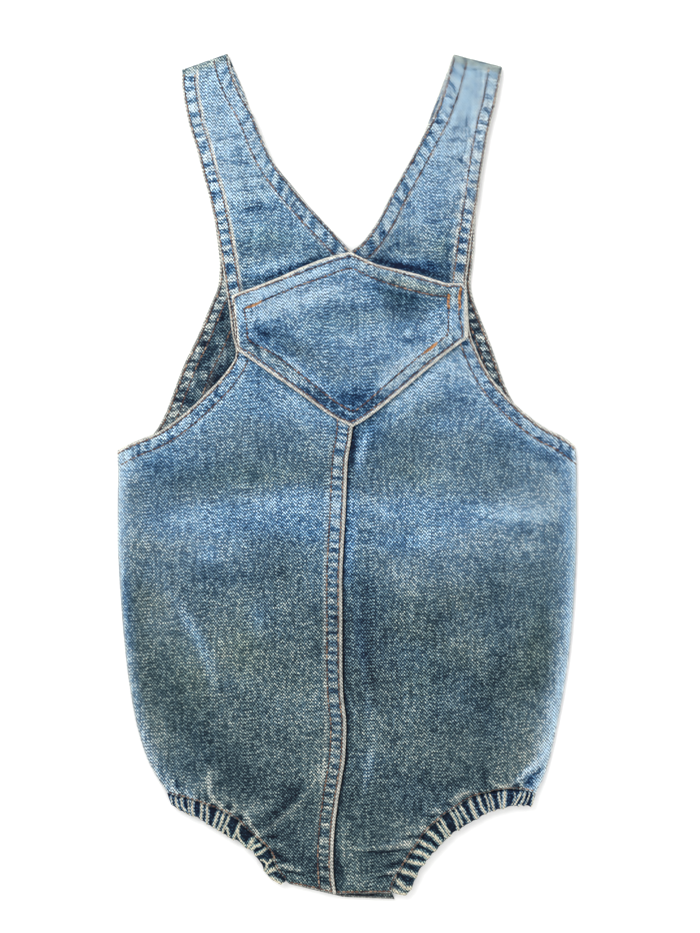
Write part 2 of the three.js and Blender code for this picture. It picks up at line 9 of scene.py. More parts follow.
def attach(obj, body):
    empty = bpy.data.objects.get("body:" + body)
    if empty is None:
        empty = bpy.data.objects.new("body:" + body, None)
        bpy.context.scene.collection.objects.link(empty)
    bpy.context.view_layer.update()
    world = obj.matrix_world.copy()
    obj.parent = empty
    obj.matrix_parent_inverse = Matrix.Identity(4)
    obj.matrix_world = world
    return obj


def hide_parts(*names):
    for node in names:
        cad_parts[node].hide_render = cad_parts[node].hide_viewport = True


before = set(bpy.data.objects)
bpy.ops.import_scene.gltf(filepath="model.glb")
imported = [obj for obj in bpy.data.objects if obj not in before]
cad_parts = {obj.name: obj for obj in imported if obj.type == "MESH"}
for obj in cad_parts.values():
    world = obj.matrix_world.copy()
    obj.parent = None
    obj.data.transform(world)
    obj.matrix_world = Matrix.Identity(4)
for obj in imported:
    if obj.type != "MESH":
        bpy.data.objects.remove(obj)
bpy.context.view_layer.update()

# Baby romper in washed denim, laid flat, front side up. Tables are in
# millimetres in the part's frame; M turns them into Blender's metres.
M = 0.001
PX = 0.55                    # millimetres of garment to one pixel of the view from above
CLOTH = 1.1
GAP = 0.3
HEM_WIDTH = 7.6
SEAM_WIDTH = 7.2
FOLD_HEIGHT = 3.4
FOLD_RETURN = 6.0
POCKET_CLOTH = 1.2
CASING_FLOOR = 3.1
CASING_HEIGHT = 3.0
LIFT = 0.35                  # the back's skin over the surface, room for its stitches


def at(px, py):
    """A place seen from above, in pixels, as millimetres in the part's frame."""
    return (px - 347.4) * PX, (476.3 - py) * PX


def mm(points):
    return np.array([at(x, y) for x, y in points])


LEG_LEFT = [
    (-99.1, -173.6, -96.4, -180.9),
    (-94.5, -175.2, -91.8, -183.6),
    (-90.4, -176.1, -87.7, -185.7),
    (-85, -177.5, -82.2, -187.7),
    (-79.5, -179.7, -78.1, -190.5),
    (-74, -181.8, -74, -192.8),
    (-68.5, -183.6, -68.5, -196),
    (-63.1, -186.8, -64.5, -198.7),
    (-58.5, -190.5, -60.3, -200.5),
    (-54.4, -194.6, -56.7, -203.7),
    (-49.4, -198.7, -52.6, -205.5),
    (-44.8, -203.2, -50.3, -209.2),
    (-41.6, -207.8, -47.6, -212.8),
    (-39.8, -213.3, -44.8, -217.9),
    (-38, -216.9, -41.7, -221),
    (-33.5, -222, -36.6, -224),
]

LEG_RIGHT = [
    (103.5, -173.9, 101, -181.6),
    (96.3, -172, 95.3, -180.9),
    (87.1, -171.5, 87.1, -182.1),
    (79.8, -172.7, 80.7, -183.6),
    (72.9, -174.5, 75.7, -185.7),
    (66.1, -177.3, 69.8, -189.1),
    (59.7, -181.6, 63.9, -192.8),
    (53.4, -185.7, 57.5, -196.4),
    (47.9, -190.5, 52.9, -201),
    (42.9, -195.2, 49.3, -205.1),
    (39.2, -201, 45.6, -208.7),
    (35.6, -206, 42, -213.3),
    (32, -211.9, 38.8, -218.3),
    (28.3, -217.9, 37, -222.9),
    (25.5, -222.9, 35.1, -227),
    (23.9, -228.3, 32, -230),
]

FRONT_LEFT = [
    (-90.7, 222.3, -65.4, 231.3, 2.3, 2.3, 0, 0, 0),
    (-90.9, 216.9, -63.9, 224.6, 2.3, 2.3, 0.2, 0.9, 0.9),
    (-89.3, 204.8, -59.1, 211.9, 2.3, 2.3, 0.3, 0.9, 0.9),
    (-86.6, 192.1, -51.9, 198.7, 2.3, 2.3, 0.4, 0.9, 0.9),
    (-82.7, 179.5, -45.9, 183.9, 2.3, 2.3, 0.4, 0.9, 0.9),
    (-79.4, 166.3, -40.6, 172.9, 2.3, 2.3, 0.4, 0.9, 0.9),
    (-75.8, 153.1, -31.6, 160.8, 2.3, 2.3, 0.5, 0.9, 0.9),
    (-73, 140.4, -20.4, 147.6, 2.3, 2.3, 0.5, 0.9, 0.9),
    (-70.6, 127.2, -5.8, 132.2, 2.3, 2.4, 0.5, 0.9, 0.9),
    (-68.8, 116.2, 1.8, 123.8, 2.3, 2.6, 0.5, 0.9, 0.9),
    (-67, 105.2, 2.3, 110.7, 2.3, 2.9, 0.6, 0.9, 0.9),
    (-65.1, 92.6, 2.5, 94.2, 2.3, 3.2, 0.6, 0.9, 0.9),
    (-63.5, 79.4, 2.5, 77.7, 2.3, 3.4, 0.7, 0.9, 0.9),
    (-61.3, 67.5, 2.8, 62.9, 2.3, 3.6, 0.8, 0.9, 0.9),
    (-68.1, 55.7, 3.1, 50.2, 2.3, 3.9, 0.9, 0.9, 0.9),
    (-77.2, 46.1, 3.1, 39.2, 2.3, 4.2, 1.1, 0.9, 0.9),
    (-89.9, 34.3, 2.9, 28.2, 2.3, 4.5, 1.2, 0.9, 0.9),
    (-103.6, 24.6, 2, 19.4, 2.3, 4.7, 1.3, 0.9, 0.9),
    (-118.8, 18.2, 0.9, 13.4, 2.1, 4.8, 1.3, 0.9, 0.9),
    (-126.5, 14.2, 0.1, 7.9, 1.6, 4.9, 1.3, 0.5, 0.9),
    (-126.2, 1.8, -0.4, -3.1, 1.4, 5.1, 1.3, 0, 0.9),
    (-126.5, -16.3, -1, -19.6, 1.4, 5.3, 1.4, 0, 0.9),
    (-126.5, -34.8, -2.1, -37.8, 1.4, 5.6, 1.5, 0, 0.9),
    (-125.6, -55.4, -2.9, -57.6, 1.4, 5.9, 1.7, 0, 0.9),
    (-124.2, -75.7, -2.8, -77.9, 1.4, 6.2, 2, 0, 0.9),
    (-122.3, -96.6, -2.8, -98.3, 1.4, 6.4, 2.3, 0, 0.9),
    (-119.7, -117, -2.4, -117.5, 1.4, 6.5, 2.6, 0, 0.9),
    (-116, -136.8, -0.6, -136.2, 1.4, 6.3, 2.8, 0, 0.9),
    (-109.9, -156, -1.3, -153.3, 1.6, 6, 2.8, 0, 0.9),
    (-104.4, -165.9, -2.9, -164.3, 2.3, 5.6, 2.6, 0, 0.9),
    (None, 0, -3.9, -170.5, 3.1, 5.2, 2.3, 0, 0.9),
    (None, 0.13, -5.2, -178, 3.4, 5, 2.1, 0, 0.9),
    (None, 0.26, -5.8, -183, 3.4, 4.8, 1.9, 0, 0.9),
    (None, 0.38, -6.5, -187.9, 3.4, 4.6, 1.7, 0, 0.9),
    (None, 0.49, -7, -193.4, 3.4, 4.4, 1.5, 0, 0.9),
    (None, 0.6, -7.5, -200, 3.4, 4.2, 1.2, 0, 0.9),
    (None, 0.71, -7.8, -207.2, 3.4, 3.9, 1, 0, 0.9),
    (None, 0.81, -7.8, -213.2, 3.3, 3.6, 0.8, 0, 0.9),
    (None, 0.91, -7.5, -219.3, 3.2, 3.3, 0.5, 0, 0.9),
    (None, 1, -6.9, -224.2, 2.9, 2.9, 0.3, 0.3, 0.9),
    (-31.8, -224, -6.1, -229.4, 2.4, 2.4, 0.1, 0.6, 0.9),
]

FRONT_RIGHT = [
    (84.9, 223.9, 57.8, 230.8, 2.3, 2.3, 0, 0, 0),
    (83.9, 218, 55.8, 223.5, 2.3, 2.3, 0.2, 0.9, 0.9),
    (81.8, 206.4, 52.6, 211.9, 2.3, 2.3, 0.3, 0.9, 0.9),
    (78.3, 192.7, 47.6, 198.7, 2.3, 2.3, 0.4, 0.9, 0.9),
    (75.7, 178.9, 41.6, 187.2, 2.3, 2.3, 0.4, 0.9, 0.9),
    (73.6, 166.3, 34.4, 173.4, 2.3, 2.3, 0.4, 0.9, 0.9),
    (71.8, 152, 24.9, 156.6, 2.3, 2.3, 0.5, 0.9, 0.9),
    (69.4, 137.7, 16.1, 139.3, 2.3, 2.3, 0.5, 0.9, 0.9),
    (67.7, 126.1, 7.2, 127.5, 2.3, 2.4, 0.5, 0.9, 0.9),
    (66.7, 117.3, 1.8, 123.8, 2.3, 2.6, 0.5, 0.9, 0.9),
    (65.3, 106.9, 2.3, 110.7, 2.3, 2.9, 0.6, 0.9, 0),
    (66.1, 95.3, 2.5, 94.2, 2.3, 3.2, 0.6, 0.9, 0),
    (67, 81.6, 2.5, 77.7, 2.3, 3.4, 0.7, 0.9, 0),
    (71.6, 67.8, 2.8, 62.9, 2.3, 3.6, 0.8, 0.9, 0),
    (78.3, 55.4, 3.1, 50.2, 2.3, 3.9, 0.9, 0.9, 0),
    (87.8, 43.9, 3.1, 39.2, 2.3, 4.2, 1.1, 0.9, 0),
    (99.1, 33.6, 2.9, 28.2, 2.3, 4.5, 1.2, 0.9, 0),
    (109.2, 26.3, 2, 19.4, 2.3, 4.7, 1.3, 0.9, 0),
    (118, 22, 0.9, 13.4, 2.1, 4.8, 1.3, 0.9, 0),
    (125.3, 16.9, 0.1, 7.9, 1.6, 4.9, 1.3, 0.5, 0),
    (126.4, 4.6, -0.4, -3.1, 1.4, 5.1, 1.3, 0, 0),
    (126.5, -15.2, -1, -19.6, 1.4, 5.3, 1.4, 0, 0),
    (126.3, -37.8, -2.1, -37.8, 1.4, 5.6, 1.5, 0, 0),
    (125.5, -57, -2.9, -57.6, 1.4, 5.9, 1.7, 0, 0),
    (124.2, -77.4, -2.8, -77.9, 1.4, 6.2, 2, 0, 0),
    (122.2, -97.7, -2.8, -98.3, 1.4, 6.4, 2.3, 0, 0),
    (119.3, -117.5, -2.4, -117.5, 1.4, 6.5, 2.6, 0, 0),
    (115.4, -137.9, -0.6, -136.2, 1.4, 6.3, 2.8, 0, 0),
    (111.2, -156, -1.3, -153.3, 1.6, 6, 2.8, 0, 0),
    (107.6, -166.5, -2.9, -164.3, 2.3, 5.6, 2.6, 0, 0),
    (None, 0, -3.9, -170.5, 3.1, 5.2, 2.3, 0, 0),
    (None, 0.12, -5.2, -178, 3.4, 5, 2.1, 0, 0),
    (None, 0.24, -5.8, -183, 3.4, 4.8, 1.9, 0, 0),
    (None, 0.36, -6.5, -187.9, 3.4, 4.6, 1.7, 0, 0),
    (None, 0.48, -7, -193.4, 3.4, 4.4, 1.5, 0, 0),
    (None, 0.59, -7.5, -200, 3.4, 4.2, 1.2, 0, 0),
    (None, 0.7, -7.8, -207.2, 3.4, 3.9, 1, 0, 0),
    (None, 0.8, -7.8, -213.2, 3.3, 3.6, 0.8, 0, 0),
    (None, 0.9, -7.5, -219.3, 3.2, 3.3, 0.5, 0, 0),
    (None, 1, -6.9, -224.2, 2.9, 2.9, 0.3, 0.3, 0),
    (24, -229, -6.1, -229.4, 2.4, 2.4, 0.1, 0.6, 0),
]

BACK_LEFT = [
    (-88.1, 216.5, -62.8, 225.6, 0.9),
    (-86.6, 204.8, -57.4, 213, 0.9),
    (-84.4, 192.1, -53, 200.4, 0.9),
    (-81.3, 179.5, -47, 185, 0.9),
    (-78.3, 166.3, -39.8, 171.8, 0.9),
    (-75, 153.1, -29.4, 159.1, 0.9),
    (-73.1, 140.4, -18.9, 145.9, 0.9),
    (-71.4, 127.2, -7.9, 131.1, 0.9),
    (-70.3, 116.2, 1.4, 117.9, 0.9),
    (-71.2, 105.2, 1.4, 105.2, 0.9),
    (-75, 95.3, 1.4, 94.2, 0.9),
    (-78.6, 86.5, 1.4, 83.2, 0.9),
    (-82.2, 77.7, 1.4, 72.2, 0.9),
    (-89.9, 61.8, 1.4, 57.4, 0.9),
    (-95.9, 46.1, 1.4, 43.1, 0.9),
    (-100.9, 33.2, 0.9, 31, 0.9),
    (-108.6, 21.6, 0.3, 20, 0.8),
    (-117.4, 16.7, -0.2, 13.4, 0.5),
    (-126.4, 13.6, -0.5, 7.9, 0),
    (-126.2, 1.8, -0.8, -3.1, 0),
    (-126.4, -16.3, -1, -19.6, 0),
    (-126.4, -34.8, -1.9, -37.8, 0),
    (-125.5, -55.4, -2.4, -57.6, 0),
    (-124.1, -75.7, -2.4, -77.9, 0),
    (-122.2, -96.6, -2.4, -98.3, 0),
    (-119.6, -117, -2.4, -117.5, 0),
    (-115.9, -136.8, -1.3, -136.2, 0),
    (-109.8, -156, -1.3, -153.3, 0),
    (-104.3, -165.9, -2.4, -164.3, 0),
    (None, 0, -3.2, -170.5, 0),
    (None, 0.18, -4.1, -181.3, 0),
    (None, 0.36, -4.3, -190.1, 0),
    (None, 0.54, -4.6, -198.9, 0),
    (None, 0.7, -4.6, -207.7, 0),
    (None, 0.85, -4.3, -216, 0),
    (None, 1, -3.8, -223.7, 0.3),
    (-31.8, -224.6, -2.4, -231.7, 0.8),
]

BACK_RIGHT = [
    (83.1, 217.8, 55.8, 224.8, 0.9),
    (80.9, 204.8, 51.5, 213.6, 0.9),
    (77.6, 192.1, 47.1, 202, 0.9),
    (75, 179.5, 42.7, 189.9, 0.9),
    (72.9, 166.3, 33.9, 171.2, 0.9),
    (71.1, 152, 25.6, 156.9, 0.9),
    (70.5, 137.7, 16.8, 139.9, 0.9),
    (69.9, 126.1, 9.7, 128.3, 0.9),
    (68.8, 115.7, 1.4, 117.9, 0.9),
    (67.8, 105.8, 1.4, 105.2, 0.9),
    (69.4, 97.5, 1.4, 94.2, 0.9),
    (73.2, 87.1, 1.4, 83.2, 0.9),
    (76.8, 78.3, 1.4, 72.2, 0.9),
    (82.3, 62.9, 1.4, 57.4, 0.9),
    (87.5, 48.6, 1.4, 43.1, 0.9),
    (93.8, 37.3, 0.9, 31, 0.9),
    (104, 27.7, 0.3, 20, 0.8),
    (114.7, 20.5, -0.2, 13.4, 0.5),
    (125.3, 16.2, -0.5, 7.9, 0),
    (126.3, 1.8, -0.8, -3.1, 0),
    (126.4, -16.3, -1, -19.6, 0),
    (126.2, -35, -1.9, -37.8, 0),
    (125.3, -55.9, -2.4, -57.6, 0),
    (124.1, -76.3, -2.4, -77.9, 0),
    (122, -96.6, -2.4, -98.3, 0),
    (119.3, -117, -2.4, -117.5, 0),
    (115.4, -136.8, -1.3, -136.2, 0),
    (111, -156, -1.3, -153.3, 0),
    (107.7, -165.9, -2.4, -164.3, 0),
    (None, 0, -3.2, -170.5, 0),
    (None, 0.18, -4.1, -181.3, 0),
    (None, 0.36, -4.3, -190.1, 0),
    (None, 0.54, -4.6, -198.9, 0),
    (None, 0.7, -4.6, -207.7, 0),
    (None, 0.85, -4.3, -216, 0),
    (None, 1, -3.8, -223.7, 0.3),
    (25.9, -232.9, -2.4, -231.7, 0.8),
]

POCKET = [
    (-63.5, 99.2, -60.6, 69.2),
    (-55.8, 102, -54.1, 64.7),
    (-47.5, 105.1, -46.7, 59.6),
    (-37.1, 109.3, -36.5, 52.5),
    (-26.1, 114.2, -25.5, 44.8),
    (-12.3, 119.5, -11.2, 34.5),
    (1.8, 122.9, 2.6, 26.8),
    (9.7, 119, 10.2, 31.2),
    (16.8, 115.9, 16.8, 36.2),
    (28.9, 113.1, 28.9, 46),
    (41, 110, 41, 56.2),
    (54.2, 105.8, 54.2, 67.2),
    (61.4, 105.9, 61.4, 72.5),
    (65.2, 104.1, 66.2, 76.1),
]

# ---- small tools -------------------------------------------------------------
def ramp(a, b, x):
    t = np.clip((x - a) / (b - a), 0.0, 1.0)
    return t * t * (3 - 2 * t)


def bump(x, half):
    """A soft hump of 1 at 0, gone by about twice half."""
    return np.exp(-(x / half) ** 2)


def pchip(y, s):
    """Monotone cubic through y at 0, 1, 2 ..., read at s."""
    y = np.asarray(y, float)
    d = np.diff(y)
    m = np.zeros(len(y))
    if len(y) > 2:
        a, b = d[:-1], d[1:]
        ok = a * b > 0
        inner = np.zeros(len(a))
        inner[ok] = 2 * a[ok] * b[ok] / (a[ok] + b[ok])
        m[1:-1] = inner
    m[0], m[-1] = d[0], d[-1]
    i = np.clip(np.floor(s).astype(int), 0, len(y) - 2)
    f = s - i
    return ((2 * f**3 - 3 * f**2 + 1) * y[i] + (f**3 - 2 * f**2 + f) * m[i]
            + (3 * f**2 - 2 * f**3) * y[i + 1] + (f**3 - f**2) * m[i + 1])


def pieced(y, breaks, s):
    """pchip in stretches that meet at corners."""
    y = np.asarray(y, float)
    out = np.zeros(len(s))
    stops = [0, *breaks, len(y) - 1]
    for a, b in zip(stops[:-1], stops[1:]):
        here = (s >= a) & (s <= b)
        out[here] = pchip(y[a:b + 1], s[here] - a)
    return out


def along(rows, cols, t):
    """A point of a table's curve, t from 0 to 1 (Catmull-Rom)."""
    rows = np.asarray(rows, float)[:, cols]
    t = np.atleast_1d(np.asarray(t, float))
    s = np.clip(t, 0, 1) * (len(rows) - 1)
    i = np.minimum(np.floor(s).astype(int), len(rows) - 2)
    f = (s - i)[:, None]
    a, b = rows[np.maximum(i - 1, 0)], rows[i]
    c, d = rows[i + 1], rows[np.minimum(i + 2, len(rows) - 1)]
    return 0.5 * (2 * b + (c - a) * f + (2 * a - 5 * b + 4 * c - d) * f**2 + (3 * b - a - 3 * c + d) * f**3)


_lattice = np.random.RandomState(11).uniform(-1, 1, (8, 256, 256))


def noise2(x, y, seed=0):
    """Smooth value noise, -1 to 1, one cell to a unit."""
    x, y = np.broadcast_arrays(np.asarray(x, float), np.asarray(y, float))
    x = x + 37.3 * seed + 500
    y = y + 91.7 * seed + 500
    i, j = np.floor(x).astype(int), np.floor(y).astype(int)
    fx, fy = x - i, y - j
    fx, fy = fx * fx * (3 - 2 * fx), fy * fy * (3 - 2 * fy)
    g = _lattice[seed % 8]
    q = lambda a, b: g[a % 256, b % 256]
    return ((q(i, j) * (1 - fx) + q(i + 1, j) * fx) * (1 - fy)
            + (q(i, j + 1) * (1 - fx) + q(i + 1, j + 1) * fx) * fy)


def noise1(x, seed=0):
    return noise2(x, np.zeros_like(np.asarray(x, float)) + 0.5, seed)


def near_line(x, y, line):
    """Distance to a polyline, and how far along it the nearest place is."""
    best = np.full(np.shape(x), 1e9)
    run = np.zeros(np.shape(x))
    total = 0.0
    for (ax, ay), (bx, by) in zip(line[:-1], line[1:]):
        dx, dy = bx - ax, by - ay
        length = math.hypot(dx, dy)
        t = np.clip(((x - ax) * dx + (y - ay) * dy) / max(length**2, 1e-9), 0, 1)
        off = np.hypot(x - ax - t * dx, y - ay - t * dy)
        closer = off < best
        best = np.where(closer, off, best)
        run = np.where(closer, total + t * length, run)
        total += length
    return best, run, total


def stroke(x, y, line, half, taper=0.35):
    """A soft streak along a line, strongest in its middle stretch."""
    off, run, total = near_line(x, y, line)
    t = run / max(total, 1e-9)
    ends = np.clip(np.minimum(t, 1 - t) / max(taper, 1e-6), 0, 1) if taper else 1.0
    ends = 0.25 + 0.75 * ends if taper else 1.0
    return bump(off, half) * ends


def spot(x, y, px, py, rx, ry, turn=0.0):
    """A soft oval patch; centre and radii in pixels, turn in degrees."""
    cx, cy = at(px, py)
    c, s = math.cos(math.radians(turn)), math.sin(math.radians(turn))
    u = ((x - cx) * c + (y - cy) * s) / (rx * PX)
    v = (-(x - cx) * s + (y - cy) * c) / (ry * PX)
    return np.exp(-(u * u + v * v))


# ---- mesh making -------------------------------------------------------------
# the light layer and the dark layer carry faded and unfaded dye and also painted highlights and painted shade; cream,
# blue and ochre are worn and tinted dye
LAYERS = ("cream", "blue", "dark_dye_and_shade", "light", "ochre")


def make_mesh(name, verts, quads, layers, material, replaces=()):
    me = bpy.data.meshes.new(name)
    verts = np.ascontiguousarray(verts, dtype=np.float32)
    quads = np.ascontiguousarray(quads, dtype=np.int32)
    me.vertices.add(len(verts))
    me.vertices.foreach_set("co", verts.ravel())
    me.loops.add(quads.size)
    me.loops.foreach_set("vertex_index", quads.ravel())
    me.polygons.add(len(quads))
    me.polygons.foreach_set("loop_start", np.arange(0, quads.size, quads.shape[1], dtype=np.int32))
    me.update(calc_edges=True)
    me.validate()
    me.shade_smooth()
    for key, value in layers.items():
        layer = me.attributes.new(key, "FLOAT", "POINT")
        layer.data.foreach_set("value", np.ascontiguousarray(value, dtype=np.float32).ravel())
    ob = bpy.data.objects.new(name, me)
    bpy.context.scene.collection.objects.link(ob)
    me.materials.append(material)
    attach(ob, "root")
    if replaces:
        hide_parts(*replaces)
    return ob


def shell_faces(rows, cols, turned, offset):
    idx = np.arange(rows * cols).reshape(rows, cols)
    a, b, c, d = idx[:-1, :-1], idx[1:, :-1], idx[1:, 1:], idx[:-1, 1:]
    top = np.stack([a, b, c, d], -1).reshape(-1, 4)
    if turned:
        top = top[:, ::-1]
    low = top[:, ::-1] + offset
    ring = np.concatenate([idx[:, 0], idx[-1, 1:], idx[-2::-1, -1], idx[0, -2:0:-1]])
    nxt = np.roll(ring, -1)
    wall = np.stack([ring, ring + offset, nxt + offset, nxt], -1)
    if turned:
        wall = wall[:, ::-1]
    return np.concatenate([top, low, wall])


def shell(name, outer, inner, turned, layers, material, replaces=()):
    """Closed cloth wall between two grids of the same shape."""
    rows, cols = outer.shape[:2]
    n = rows * cols
    verts = np.concatenate([outer.reshape(-1, 3), inner.reshape(-1, 3)]) * M
    both = {k: np.concatenate([np.broadcast_to(v[0], (rows, cols)).ravel(), np.broadcast_to(v[1], (rows, cols)).ravel()])
            for k, v in layers.items()}
    return make_mesh(name, verts, shell_faces(rows, cols, turned, n), both, material, replaces)


def skin_of(outer):
    """A look-up of one skin's height."""
    rows, cols = outer.shape[:2]
    idx = np.arange(rows * cols).reshape(rows, cols)
    quads = np.stack([idx[:-1, :-1], idx[1:, :-1], idx[1:, 1:], idx[:-1, 1:]], -1).reshape(-1, 4)
    return BVHTree.FromPolygons([Vector(v) for v in outer.reshape(-1, 3)], quads.tolist())


def skin_from(verts, quads):
    return BVHTree.FromPolygons([Vector(v) for v in verts], np.asarray(quads).tolist())


def drop(trees, x, y, down=True):
    """Height of the highest skin under (x, y), or the lowest over it."""
    best = None
    for tree in trees:
        hit = tree.ray_cast(Vector((x, y, 60.0 if down else -60.0)), Vector((0, 0, -1.0 if down else 1.0)))
        if hit[0] is not None and (best is None or (hit[0].z > best if down else hit[0].z < best)):
            best = hit[0].z
    return best
